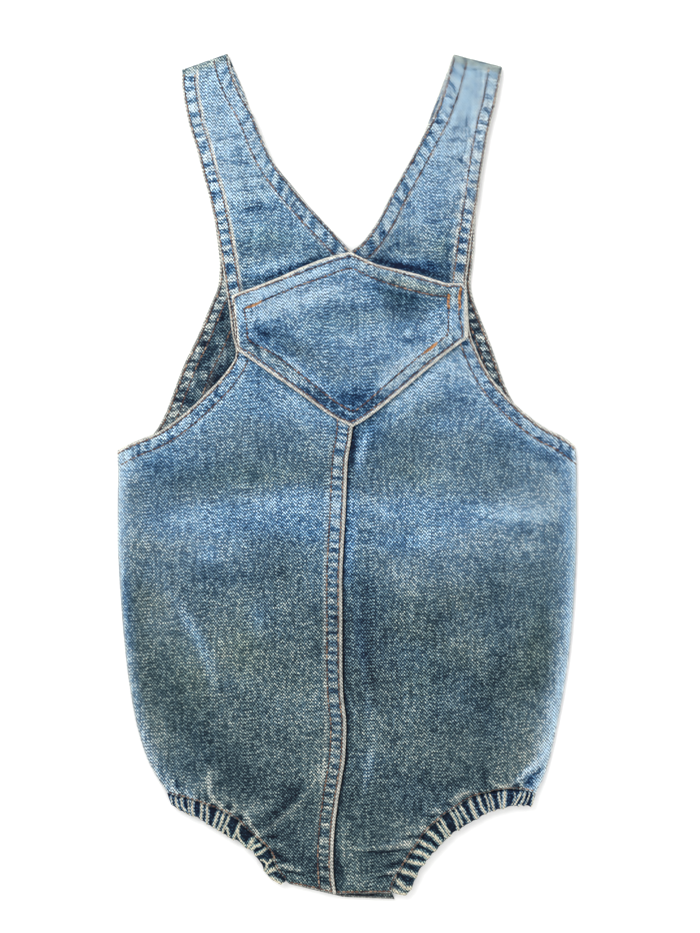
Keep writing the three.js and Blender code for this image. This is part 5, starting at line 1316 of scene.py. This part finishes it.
def pocket(trees):
    table = np.array(POCKET)
    n = 190
    m = 136
    c = np.linspace(0, len(POCKET) - 1, n)
    c[np.argmin(abs(c - 6))] = 6
    top_x, top_y, low_x, low_y = (pieced(table[:, k], (6, 11), c) for k in range(4))
    v = np.linspace(0, 1, m)[:, None]
    x = top_x + (low_x - top_x) * v
    y = top_y + (low_y - top_y) * v
    edge = np.concatenate([np.stack([top_x, top_y], -1), np.stack([low_x, low_y], -1)[::-1]])
    edge = edge[::3]
    rim, run, _ = near_line(x, y, [tuple(p) for p in edge] + [tuple(edge[0])])
    mouth, mouth_run, _ = near_line(x, y, list(zip(top_x[::3], top_y[::3])))
    row1, run1, _ = near_line(x, y, mm(POCKET_OUTER))
    row2, run2, _ = near_line(x, y, mm(POCKET_INNER))
    base = height_map(trees, -72, 74, 20, 130, 1.0, 2, 3)
    low = base(x, y) + GAP
    between = inside(x, y, mm(POCKET_OUTER)) & ~inside(x, y, mm(POCKET_INNER))
    middle = inside(x, y, mm(POCKET_INNER))
    depth = np.where(inside(x, y, mm(POCKET_INNER)), row2, -row2)   # + inside the inner row
    top = low + POCKET_CLOTH
    top = top + 0.55 * (1 - ramp(-0.6, 0.8, depth))                     # folded hem all round
    top = top - 0.65 * (1 - ramp(0, 1.1, rim))
    top = top - 0.20 * bump(row1, 0.45) - 0.28 * bump(row2, 0.5)
    hem = ramp(0.3, 1.2, row1) * ramp(0.3, 1.2, row2) * between
    at_mouth = 1 - ramp(8.5, 10.5, mouth)
    rope = np.sin(2 * math.pi * (mouth_run / 2.5 + 0.8 * noise1(mouth_run / 5, 3))) * at_mouth * 0.8
    rope = rope + (1 - at_mouth) * 0.7 * np.sin(2 * math.pi * ((x * 0.6 + y * 0.8) / 4.2 + 0.9 * noise2(x / 7, y / 7, 1)))
    rope = (rope + 0.7 * noise2(x / 1.6, y / 1.6, 2)) * hem
    top = top + 0.12 * rope
    top = top + middle * ramp(0, 14, depth) * (0.65 * noise2(x / 26, y / 20, 2) + 0.2 * noise2(x / 9, y / 9, 3))
    pull = bump(depth - 1.7, 1.5) * np.sin(2 * math.pi * run2 / 5.0 + 3 * noise1(run2 / 12, 7)) * middle
    top = top + 0.12 * pull
    for line, half, rise in (
        ([(250, 322), (262, 334), (276, 344)], 3.4, -0.55), ([(248, 330), (258, 340)], 3.0, 0.45), ([(266, 334), (280, 350)], 4.0, 0.5),
        ([(398, 346), (420, 334), (440, 326)], 4.5, 0.6), ([(402, 352), (424, 338)], 3.4, -0.5), ([(384, 378), (404, 362), (420, 350)], 4.4, 0.6),
        ([(330, 392), (352, 402), (372, 388)], 6, -0.5), ([(286, 360), (302, 372)], 4.4, 0.45), ([(360, 300), (380, 340)], 12, 0.5),
        ([(300, 300), (330, 340)], 16, -0.4), ([(430, 306), (446, 340)], 6, 0.4)):
        top = top + rise * stroke(x, y, mm(line), half * PX) * ramp(-0.3, 2.5, depth)
    lay = wear_and_shade(x, y, WEAR_AND_SHADE_POCKET, TONE_POCKET)
    worn = 1.0 - 0.35 * ramp(-10, 40, x) * (mouth < 9)
    lay["cream"] += 1.35 * worn * bump(rim - 0.40, 1.15)
    lay["light"] += 0.75 * worn * bump(rim, 1.6) + hem * 0.34 * worn + 0.45 * bump(depth - 1.5, 0.9) * (depth > 0)
    lay["blue"] += 0.5 * bump(rim, 3.5) + 0.55 * bump(depth - 2.6, 4.2) * (depth > 0)
    # rope tops lighter, partly roping wear and partly painted highlight; painted shade in the rope hollows and in the
    # stitch grooves
    lay["light"] += 0.50 * np.clip(rope, 0, None) - 0.12 * np.clip(-rope, 0, None) + 0.16 * hem * at_mouth
    lay["dark_dye_and_shade"] += 0.24 * np.clip(-rope, 0, None) + 0.45 * bump(row1, 0.5) + 0.42 * bump(row2, 0.55)
    lay["light"] += 0.10 * noise2(x / 16, y / 20, 3) + 0.08 * noise2(x / 6, y / 8, 4)
    lay["blue"] += 0.12 * noise2(x / 20, y / 14, 5)
    outer = np.stack([x, y, np.maximum(top, low + 0.7)], -1)
    inner = np.stack([x, y, low], -1)
    # the underside takes a flat painted shade
    layers = {k: (lay[k], np.zeros(x.shape) + (0.4 if k == "dark_dye_and_shade" else 0)) for k in LAYERS}
    return outer, inner, layers


# ---- casings -----------------------------------------------------------------------
def casing(leg, ridges, front, seed):
    n, m = (380, 30) if front else (230, 20)
    t = np.linspace(0, 1, n)
    a, b = along(leg, [0, 1], t), along(leg, [2, 3], t)
    width = np.hypot(*(b - a).T)[:, None]
    way = (b - a) / width
    v = np.linspace(0, 1, m)[None, :]
    run = np.concatenate([[0], np.cumsum(np.hypot(*np.diff(a, axis=0).T))])[:, None] + 0 * v
    V = v + 0 * run
    reach = (GAP + 0.15) + (width - GAP - 0.25) * V
    place = lambda r: (a[:, 0:1] + way[:, 0:1] * r, a[:, 1:2] + way[:, 1:2] * r)
    x, y = place(reach)
    if not front:
        slip = 1.9 * noise1(run / 5, seed)
        x, y = x + slip * way[:, 1:2], y - slip * way[:, 0:1]
    ridge = ridge_rise(x, y, ridges)
    soft = ridge_rise(x, y, ridges, 1.9)
    # the edge bulges where a gather ends
    reach = reach + V**2 * (soft - 0.6) * 0.85 + V * 0.25 * noise1(run / 7, seed + 1)
    x, y = place(reach)
    rip = np.sin(2 * math.pi * (run + 0.9 * V) / 1.25 + 4 * noise1(run / 6, seed)) * 0.5
    tail = ramp(0.70, 0.95, t)[:, None]
    dome = np.sqrt(np.clip(1 - (np.abs(2 * V - 1)) ** 2.6, 0, 1))
    end = 1 - 0.22 * ramp(0.9, 1, t)[:, None] - 0.25 * (1 - ramp(0, 0.08, t))[:, None]
    lay = {k: np.zeros(run.shape) for k in LAYERS}
    # worn cream on the gathers' tops; lighter tops and dark valleys, partly faded and unfaded dye and partly painted
    # highlight and painted shade; painted shade along the seam edge
    lay["cream"] += 1.0 * ramp(0.42, 0.95, ridge) + 0.30 * tail * ramp(0.25, 0.8, soft)
    lay["light"] += 0.70 * ramp(0.25, 0.8, soft) + 0.10
    lay["dark_dye_and_shade"] += 1.15 * (1 - ramp(0.20, 0.85, soft)) * (1 - 0.25 * tail) - 0.10 * np.clip(noise2(x / 1.5, y / 2.5, 4), 0, 1)
    lay["cream"] += 0.35 * bump(V - 1.0, 0.07) * ramp(0.2, 0.7, soft)
    lay["dark_dye_and_shade"] += 0.30 * bump(V, 0.10)
    lay["blue"] += 0.30 * (1 - ramp(0.0, 0.35, t))[:, None] + 0.15
    lay["ochre"] += 0.9 * ramp(0.2, 0.6, t)[:, None]
    if front:
        height = CASING_HEIGHT * (0.48 + 0.52 * dome) * end
        top = CASING_FLOOR + height + (0.65 * ridge + 0.35 * soft - 0.60) * 1.5 * (0.35 + 0.65 * dome) + 0.08 * rip
        low = CASING_FLOOR + 0.05 + 0 * run + 0.5 * (1 - dome)
        top = np.maximum(top, low + 0.7)
        both = {k: (lay[k], lay[k] * 0.8) for k in LAYERS}
        return np.stack([x, y, top], -1), np.stack([x, y, low], -1), both
    low = 0.06 + (0.85 - 0.8 * soft) * 0.75 + 0.55 * (1 - dome)
    top = 2.75 * (0.55 + 0.45 * dome) * end + 0 * run
    top = np.maximum(top, low + 0.7)
    both = {k: (lay[k] * (0.75 if k == "cream" else 1), lay[k]) for k in LAYERS}
    return np.stack([x, y, top], -1), np.stack([x, y, low], -1), both


# ---- stitches ------------------------------------------------------------------------
def resample(line, pitch, r, wobble=0.0):
    line = np.asarray(line, float)
    seg = np.hypot(*np.diff(line, axis=0).T)
    total = np.concatenate([[0], np.cumsum(seg)])
    n = max(2, int(round(total[-1] / pitch)))
    places = (np.arange(n) + 0.5 + r.uniform(-wobble, wobble, n)) / n * total[-1]
    x, y = np.interp(places, total, line[:, 0]), np.interp(places, total, line[:, 1])
    x2, y2 = np.interp(places + 0.3, total, line[:, 0]), np.interp(places + 0.3, total, line[:, 1])
    x1, y1 = np.interp(places - 0.3, total, line[:, 0]), np.interp(places - 0.3, total, line[:, 1])
    turn = np.arctan2(y2 - y1, x2 - x1)
    return x, y, turn


RINGS = [(-0.5, 0.30), (-0.40, 0.78), (-0.15, 1.0), (0.15, 1.0), (0.40, 0.78), (0.5, 0.30)]


def stitch_mesh(name, lines, trees, material, length=2.05, radius=0.44, pitch=2.45, down=True, blocked=(), seed=3, slant=0.0, sink=0.10, floor=None):
    """Rows of thread stitches, each lying on the highest skin under it."""
    r = np.random.RandomState(seed)
    verts, quads, tint = [], [], []
    sides = 6
    for line in lines:
        for x, y, turn in zip(*resample(line, pitch, r, 0.06)):
            turn += slant + r.normal(0, 0.07)
            half = length * r.uniform(0.88, 1.08) / 2
            c, s = math.cos(turn), math.sin(turn)
            ends = [drop(trees, x + k * c * half * 0.8, y + k * s * half * 0.8, down) for k in (-1, 0, 1)]
            if ends[1] is None or ends[0] is None or ends[2] is None or abs(ends[0] - ends[2]) > 1.2:
                continue
            if blocked:
                over = drop(blocked, x, y, down)
                if over is not None and (over > ends[1] - 0.2 if down else over < ends[1] + 0.2):
                    continue
            sign = 1.0 if down else -1.0
            za, zb, zc = (h + sign * (radius * 0.62 - sink) for h in ends)
            rr = radius * r.uniform(0.88, 1.12)
            start = len(verts)
            for place, wide in RINGS:
                t = place * 2
                z = zb + (zc - za) / 2 * t - sign * 0.42 * rr * (abs(t) ** 2.4)
                cx, cy = x + c * half * t, y + s * half * t
                for k in range(sides):
                    angle = 2 * math.pi * (k + 0.5) / sides
                    side, lift = math.cos(angle) * rr * wide, math.sin(angle) * rr * wide * 0.85
                    zz = z + lift
                    verts.append((cx - s * side, cy + c * side, zz if floor is None else max(zz, floor)))
            rings = len(RINGS)
            for i in range(rings - 1):
                for k in range(sides):
                    a, b = start + i * sides + k, start + i * sides + (k + 1) % sides
                    quads.append((a, b, b + sides, a + sides))
            for base, flip in ((start, True), (start + (rings - 1) * sides, False)):
                ring = [base + k for k in range(sides)]
                for q in ((ring[0], ring[1], ring[2], ring[3]), (ring[0], ring[3], ring[4], ring[5])):
                    quads.append(q[::-1] if flip else q)
            shade = float(np.clip(r.normal(0.5, 0.26), 0, 1))
            tint += [shade] * (rings * sides)
    return make_mesh(name, np.array(verts) * M, np.array(quads)[:, ::-1], {"tint": np.array(tint)}, material)


def offset_line(line, dist, side, start=0.0, end=0.0):
    """A line moved sideways, side +1 to its left, with its ends run on."""
    p = np.asarray(line, float)
    t = np.gradient(p, axis=0)
    t /= np.maximum(np.hypot(*t.T)[:, None], 1e-9)
    normal = np.stack([-t[:, 1], t[:, 0]], -1) * side
    q = p + normal * (np.zeros(len(p)) + dist)[:, None]
    if end:
        q = np.concatenate([q, q[-1:] + t[-3:-2] * end])
    if start:
        q = np.concatenate([q[:1] - t[2:3] * start, q])
    return q


def edge_line(g, outer, s0, s1):
    keep = (g["s"] >= s0) & (g["s"] <= s1)
    return np.stack([g["ox" if outer else "ix"][keep], g["oy" if outer else "iy"][keep]], -1)


def smooth_line(points, rounds=2):
    p = np.asarray(points, float)
    for _ in range(rounds):
        a, b = p[:-1], p[1:]
        mid = np.stack([0.75 * a + 0.25 * b, 0.25 * a + 0.75 * b], 1).reshape(-1, 2)
        p = np.concatenate([p[:1], mid, p[-1:]])
    return p


# ---- materials --------------------------------------------------------------------------
LIT = 0.80               # the light is strong enough to bleach the floor


def srgb(r, g, b):
    f = lambda c: LIT * ((c / 255 / 12.92) if c / 255 <= 0.04045 else ((c / 255 + 0.055) / 1.055) ** 2.4)
    return (f(r), f(g), f(b), 1.0)


class Graph:
    def __init__(self, name):
        self.mat = bpy.data.materials.new(name)
        self.mat.use_nodes = True
        self.tree = self.mat.node_tree
        self.tree.nodes.clear()

    def node(self, kind, **values):
        n = self.tree.nodes.new(kind)
        for key, value in values.items():
            setattr(n, key, value)
        return n

    def feed(self, value, socket):
        if isinstance(value, (int, float)):
            socket.default_value = value
        elif isinstance(value, tuple):
            socket.default_value = value
        else:
            self.tree.links.new(value, socket)

    def math(self, op, a, b=0.0, c=0.0, clamp=False):
        n = self.node("ShaderNodeMath", operation=op, use_clamp=clamp)
        for value, socket in zip((a, b, c), n.inputs):
            self.feed(value, socket)
        return n.outputs[0]

    def attribute(self, name):
        n = self.node("ShaderNodeAttribute", attribute_name=name, attribute_type="GEOMETRY")
        return n.outputs["Fac"]

    def scaled(self, vector, scale, turn=0.0):
        n = self.node("ShaderNodeMapping")
        n.inputs["Scale"].default_value = scale
        n.inputs["Rotation"].default_value = (0, 0, turn)
        self.feed(vector, n.inputs["Vector"])
        return n.outputs[0]

    def noise(self, vector, scale=1.0, detail=2.0, rough=0.5, distortion=0.0):
        n = self.node("ShaderNodeTexNoise")
        self.feed(vector, n.inputs["Vector"])
        n.inputs["Scale"].default_value = scale
        n.inputs["Detail"].default_value = detail
        n.inputs["Roughness"].default_value = rough
        n.inputs["Distortion"].default_value = distortion
        return n.outputs["Fac"]

    def ramp(self, fac, stops):
        n = self.node("ShaderNodeValToRGB")
        el = n.color_ramp.elements
        while len(el) < len(stops):
            el.new(0.5)
        for e, (place, colour) in zip(el, stops):
            e.position = place
            e.color = colour
        self.feed(fac, n.inputs["Fac"])
        return n.outputs["Color"]

    def mix(self, fac, a, b, mode="MIX"):
        n = self.node("ShaderNodeMix", data_type="RGBA", blend_type=mode)
        self.feed(fac, n.inputs[0])
        self.feed(a, n.inputs[6])
        self.feed(b, n.inputs[7])
        return n.outputs[2]


def denim(name, dark=0.0, cream_tone=(232, 229, 218)):
    """Twill: warp floats shifted from yarn to yarn, slubby yarns both ways,
    dye worn by the painted layers, which also carry painted shade and painted highlights."""
    g = Graph(name)
    coord = g.node("ShaderNodeTexCoord").outputs["Object"]
    split = g.node("ShaderNodeSeparateXYZ")
    g.feed(coord, split.inputs[0])
    x, y = split.outputs[0], split.outputs[1]

    def spread(value, gain):
        return g.math("MULTIPLY", g.math("SUBTRACT", value, 0.5), gain)

    def vec(a, b, c=0.0):
        n = g.node("ShaderNodeCombineXYZ")
        for value, socket in zip((a, b, c), n.inputs):
            g.feed(value, socket)
        return n.outputs[0]

    wander = g.noise(g.scaled(coord, (60, 60, 60)), 1.0, 1.0, 0.5)
    u = g.math("MULTIPLY_ADD", x, 1400.0, spread(wander, 1.1))
    col = g.math("FLOOR", u)
    fu = g.math("SUBTRACT", u, col)
    yarn = g.node("ShaderNodeTexWhiteNoise", noise_dimensions="1D")
    g.feed(col, yarn.inputs["W"])
    shift = g.math("MULTIPLY_ADD", yarn.outputs["Value"], 0.22, g.math("MULTIPLY", col, 0.44))
    v = g.math("MULTIPLY_ADD", y, 525.0, g.math("ADD", shift, spread(wander, 0.8)))
    floats = g.math("SINE", g.math("MULTIPLY", v, 2 * math.pi))
    part = g.math("FLOOR", g.math("MULTIPLY", v, 2.0))
    cell = g.node("ShaderNodeTexWhiteNoise", noise_dimensions="2D")
    g.feed(vec(col, part), cell.inputs["Vector"])
    float_tone = cell.outputs["Value"]
    warp = g.noise(vec(g.math("MULTIPLY", col, 7.31), g.math("MULTIPLY", y, 48.0)), 1.0, 4.0, 0.6)
    weft_id = g.math("FLOOR", g.math("MULTIPLY_ADD", y, 1600.0, spread(wander, 2.0)))
    weft = g.noise(vec(g.math("MULTIPLY", x, 64.0), g.math("MULTIPLY", weft_id, 5.17), 4.0), 1.0, 3.0, 0.6)
    round_u = g.math("SINE", g.math("MULTIPLY", fu, math.pi))
    fleck = g.noise(g.scaled(coord, (3300, 3000, 2400)), 1.0, 1.0, 0.6)
    mottle = g.noise(g.scaled(coord, (230, 120, 120)), 1.0, 3.0, 0.6)
    cloud = g.noise(g.scaled(coord, (34, 26, 30)), 1.0, 3.0, 0.5)
    # the light and dark layers carry faded and unfaded dye together with painted highlights and painted shade
    light, dark_dye_and_shade, blue = g.attribute("light"), g.attribute("dark_dye_and_shade"), g.attribute("blue")
    ochre, cream = g.attribute("ochre"), g.attribute("cream")

    weave = g.math("ADD", spread(float_tone, 0.54), g.math("MULTIPLY", floats, 0.48))
    weave = g.math("ADD", weave, spread(warp, 0.62))
    weave = g.math("ADD", weave, spread(weft, 0.56))
    weave = g.math("ADD", weave, spread(fleck, 0.10))
    # the yarns' rounding, lighter in their middles: painted shade at their edges
    weave = g.math("ADD", weave, g.math("MULTIPLY_ADD", round_u, 0.16, -0.10))
    lively = g.math("MULTIPLY_ADD", light, 0.40, 0.78)
    lively = g.math("MULTIPLY_ADD", blue, 0.18, lively)
    tip = g.math("MULTIPLY", g.math("MULTIPLY_ADD", x, 80.0, -4.0, clamp=True), g.math("MULTIPLY_ADD", y, 30.0, -3.9, clamp=True))
    lively = g.math("MULTIPLY_ADD", tip, 0.55, lively)
    weave = g.math("MULTIPLY", weave, g.math("MAXIMUM", lively, 0.8))
    tone = g.math("ADD", weave, spread(mottle, 0.05))
    tone = g.math("ADD", tone, spread(cloud, 0.10))
    tone = g.math("ADD", tone, 0.352 - dark)
    tone = g.math("MULTIPLY_ADD", light, 0.38, tone)
    tone = g.math("MULTIPLY_ADD", dark_dye_and_shade, -0.56, tone, clamp=True)
    grey = g.ramp(tone, [(0.0, srgb(14, 22, 36)), (0.22, srgb(38, 57, 71)), (0.42, srgb(70, 95, 105)), (0.58, srgb(99, 127, 135)), (0.76, srgb(142, 165, 164)), (1.0, srgb(214, 218, 206))])
    deep = g.ramp(tone, [(0.0, srgb(14, 26, 54)), (0.22, srgb(34, 70, 112)), (0.42, srgb(66, 113, 156)), (0.58, srgb(96, 149, 192)), (0.76, srgb(140, 190, 222)), (1.0, srgb(204, 230, 244))])
    hue = g.math("ADD", spread(mottle, 0.25), g.math("ADD", blue, 0.20))
    hue = g.math("ADD", spread(warp, 0.5), hue, clamp=True)
    colour = g.mix(hue, grey, deep)
    olive = g.math("MULTIPLY", ochre, 0.75, clamp=True)
    colour = g.mix(olive, colour, g.mix(1.0, colour, (0.90, 0.92, 0.72, 1.0), "MULTIPLY"))
    worn = g.math("MULTIPLY_ADD", weave, 0.6, cream)
    worn = g.math("ADD", worn, 0.45)
    worn = g.math("MULTIPLY", worn, cream, clamp=True)
    worn = g.math("MINIMUM", worn, 0.94)
    white = g.ramp(tone, [(0.0, srgb(140, 146, 144)), (0.5, srgb(*[c - 16 for c in cream_tone])), (1.0, srgb(*cream_tone))])
    colour = g.mix(worn, colour, white)
    swell = g.math("MINIMUM", g.math("MAXIMUM", g.math("MULTIPLY", weave, 1.5), -1.0), 1.0)
    colour = g.mix(1.0, colour, g.math("MULTIPLY_ADD", swell, 0.30, 0.97), "MULTIPLY")
    bump_node = g.node("ShaderNodeBump")
    bump_node.inputs["Strength"].default_value = 0.15
    bump_node.inputs["Distance"].default_value = 0.0003
    height = g.math("MULTIPLY_ADD", floats, 0.35, round_u)
    height = g.math("ADD", height, g.math("MULTIPLY", g.math("ADD", warp, weft), 0.8))
    height = g.math("MULTIPLY_ADD", fleck, 0.7, height)
    g.feed(height, bump_node.inputs["Height"])
    shader = g.node("ShaderNodeBsdfPrincipled")
    g.feed(colour, shader.inputs["Base Color"])
    shader.inputs["Roughness"].default_value = 0.93
    shader.inputs["Specular IOR Level"].default_value = 0.15
    g.feed(bump_node.outputs[0], shader.inputs["Normal"])
    out = g.node("ShaderNodeOutputMaterial")
    g.feed(shader.outputs[0], out.inputs["Surface"])
    return g.mat


def thread(name, stops):
    g = Graph(name)
    coord = g.node("ShaderNodeTexCoord").outputs["Object"]
    tint = g.attribute("tint")
    twist = g.noise(g.scaled(coord, (2600, 2600, 2600)), 1.0, 2.0, 0.6)
    fac = g.math("MULTIPLY_ADD", g.math("SUBTRACT", twist, 0.5), 0.6, tint, clamp=True)
    colour = g.ramp(fac, stops)
    shader = g.node("ShaderNodeBsdfPrincipled")
    g.feed(colour, shader.inputs["Base Color"])
    shader.inputs["Roughness"].default_value = 0.8
    shader.inputs["Specular IOR Level"].default_value = 0.2
    out = g.node("ShaderNodeOutputMaterial")
    g.feed(shader.outputs[0], out.inputs["Surface"])
    return g.mat


def plain(name, colour, rough=0.9):
    g = Graph(name)
    shader = g.node("ShaderNodeBsdfPrincipled")
    shader.inputs["Base Color"].default_value = colour
    shader.inputs["Roughness"].default_value = rough
    shader.inputs["Specular IOR Level"].default_value = 0.1
    out = g.node("ShaderNodeOutputMaterial")
    g.feed(shader.outputs[0], out.inputs["Surface"])
    return g.mat


body = denim("washed_denim")
back_cloth = denim("washed_denim_back")
pocket_cloth = denim("washed_denim_pocket")
casing_cloth = denim("washed_denim_casing", 0.02, (222, 214, 190))
brown = thread("brown_thread", [(0.0, srgb(50, 38, 46)), (0.35, srgb(88, 66, 64)), (0.7, srgb(134, 104, 88)), (1.0, srgb(190, 162, 138))])
orange = thread("orange_thread", [(0.0, srgb(132, 84, 52)), (0.5, srgb(196, 134, 80)), (1.0, srgb(226, 176, 122))])

# ---- the garment ------------------------------------------------------------------------
ROW_STEP = 1.25
strap_left, strap_right = (0.42, -0.907), (-0.3, -0.954)
lo, li, ll, left = front_half(FRONT_LEFT, LEG_LEFT, RIDGES_LEFT, strap_left, False, 0.0)
ro, ri, rl, right = front_half(FRONT_RIGHT, LEG_RIGHT, RIDGES_RIGHT, strap_right, True, GAP)
front_left = shell("front_left_cloth", lo, li, False, ll, body, ["front_left"])
front_right = shell("front_right_cloth", ro, ri, True, rl, body, ["front_right"])
bo, bi, bq, bl, back_left_grid, back_right_grid = back_panel()
used = np.unique(bq)
again = np.full(len(bo), -1)
again[used] = np.arange(len(used))
bo, bi, bq = bo[used], bi[used], again[bq]
bl = {k: np.concatenate([v[0][used], v[1][used]]) for k, v in bl.items()}
back = make_mesh("back_cloth", np.concatenate([bo, bi]) * M, closed(bo, bi, bq), bl, back_cloth, ["back"])
skins = [skin_of(lo), skin_of(ro)]
po, pi_, pl = pocket(skins)
chest = shell("chest_pocket_cloth", po, pi_, False, pl, pocket_cloth, ["chest_pocket"])
casing_skins = []
for name, leg, folds, front, turned, seed in (
        ("leg_casing_front_left", LEG_LEFT, RIDGES_LEFT, True, False, 1), ("leg_casing_front_right", LEG_RIGHT, RIDGES_RIGHT, True, True, 2),
        ("leg_casing_back_left", LEG_LEFT, RIDGES_LEFT, False, False, 3), ("leg_casing_back_right", LEG_RIGHT, RIDGES_RIGHT, False, True, 4)):
    co, ci, cl = casing(leg, folds, front, seed)
    shell(name + "_cloth", co, ci, not turned, cl, casing_cloth, [name])
    if front:
        casing_skins.append(skin_of(co))

# ---- thread -------------------------------------------------------------------------------
pocket_skin = skin_of(po)
rows = []
for g, side in ((left, 1), (right, -1)):
    arm = edge_line(g, True, 0.12, 19.0)
    keep = (g["s"] >= 0.12) & (g["s"] <= 19.0)
    rows += [offset_line(arm, hem_row_1(g["s"][keep]), side, end=6), offset_line(arm, hem_row_2(g["s"][keep]), side, end=12)]
    throat = edge_line(g, False, 0.12, 8.99)
    rows += [offset_line(throat, 1.4, -side), offset_line(throat, 8.4, -side)]
    rows.append(offset_line(edge_line(g, True, 30.05, 38.95), 0.9, side))
    rows.append(offset_line(np.array([(g["ox"][-1], g["oy"][-1]), (g["ix"][-1], g["iy"][-1])]).repeat(2, axis=0)[[0, 3]], 1.3, side))
middle_edge = edge_line(left, False, 9.05, 40.0)
rows += [offset_line(middle_edge, 2.2, -1), offset_line(middle_edge, 8.4, -1)]
front_thread = stitch_mesh("stitches_front", rows, skins, brown, blocked=[pocket_skin])
pocket_thread = stitch_mesh("stitches_pocket", [smooth_line(mm(POCKET_OUTER), 1), smooth_line(mm(POCKET_INNER), 1)], [pocket_skin], brown, seed=7)
tacks = []
for line in ([(246.9, 308), (254, 306.2), (261.7, 302)], [(448.7, 295), (447.7, 302), (448.6, 309)],
             [(460.5, 289), (458.6, 298), (459.4, 309)], [(423.5, 353.5), (430, 349.2), (436.5, 343.5)]):
    tacks.append(smooth_line(mm(line), 1))
tack_thread = stitch_mesh("bar_tacks", tacks, [pocket_skin], orange, length=1.9, radius=0.34, pitch=0.55, slant=math.radians(62), seed=9)
back_skin = [skin_from(bo, bq)]
back_under = [skin_from(bi, bq)]
rows, low_rows = [], []
for g, side in ((back_left_grid, 1), (back_right_grid, -1)):
    arm = edge_line(g, True, 0.6, 18.0)
    throat = edge_line(g, False, 0.6, 7.99)
    rows += [offset_line(arm, 1.5, side, end=5), offset_line(arm, 6.8, side, end=12), offset_line(edge_line(g, True, 10.2, 16.8), 15.4, side)]
    low_rows += [offset_line(arm, 1.3, side, end=5), offset_line(arm, 7.6, side, end=12), offset_line(throat, 1.4, -side), offset_line(throat, 8.4, -side)]
back_inside = stitch_mesh("stitches_back_inside", rows, back_skin, brown, seed=13)
back_outside = stitch_mesh("stitches_back_outside", low_rows, back_under, brown, down=False, seed=15, floor=0.0)

# ---- floor, light, camera ----------------------------------------------------------------------
floor_me = bpy.data.meshes.new("floor")
floor_me.from_pydata([(-3, -3, 0), (3, -3, 0), (3, 3, 0), (-3, 3, 0)], [], [(0, 1, 2, 3)])
floor = bpy.data.objects.new("floor", floor_me)
floor_me.materials.append(plain("floor_paper", (0.93, 0.93, 0.925, 1.0)))
bpy.context.scene.collection.objects.link(floor)
floor.location.z = -0.0003

world = bpy.data.worlds.new("world")
bpy.context.scene.world = world
world.use_nodes = True
world.node_tree.nodes["Background"].inputs[0].default_value = (1.0, 1.0, 1.0, 1.0)
world.node_tree.nodes["Background"].inputs[1].default_value = 0.86


def area_light(name, place, target, size, power, colour=(1, 1, 1)):
    data = bpy.data.lights.new(name, "AREA")
    data.shape = "RECTANGLE"
    data.size, data.size_y = size
    data.energy = power
    data.color = colour
    ob = bpy.data.objects.new(name, data)
    ob.location = place
    ob.rotation_euler = (Vector(target) - Vector(place)).to_track_quat("-Z", "Y").to_euler()
    bpy.context.scene.collection.objects.link(ob)
    return ob


area_light("key", (-0.55, 0.75, 0.95), (0, 0, 0), (0.9, 0.7), 12.0)
area_light("fill", (0.9, -0.5, 0.9), (0, 0, 0), (1.0, 1.0), 4.5)

cam = bpy.data.cameras.new("camera")
camera = bpy.data.objects.new("camera", cam)
bpy.context.scene.collection.objects.link(camera)
cam.sensor_fit = "VERTICAL"
cam.sensor_height = 36.0
cam.lens = 50.0
distance = 0.933 * PX * 50.0 / 36.0
cx, cy = at(350.0, 466.5)
camera.location = (cx * M, cy * M, distance + 0.003)
camera.rotation_euler = (0.0, 0.0, 0.0)
bpy.context.scene.camera = camera
bpy.context.scene.view_settings.view_transform = "Standard"
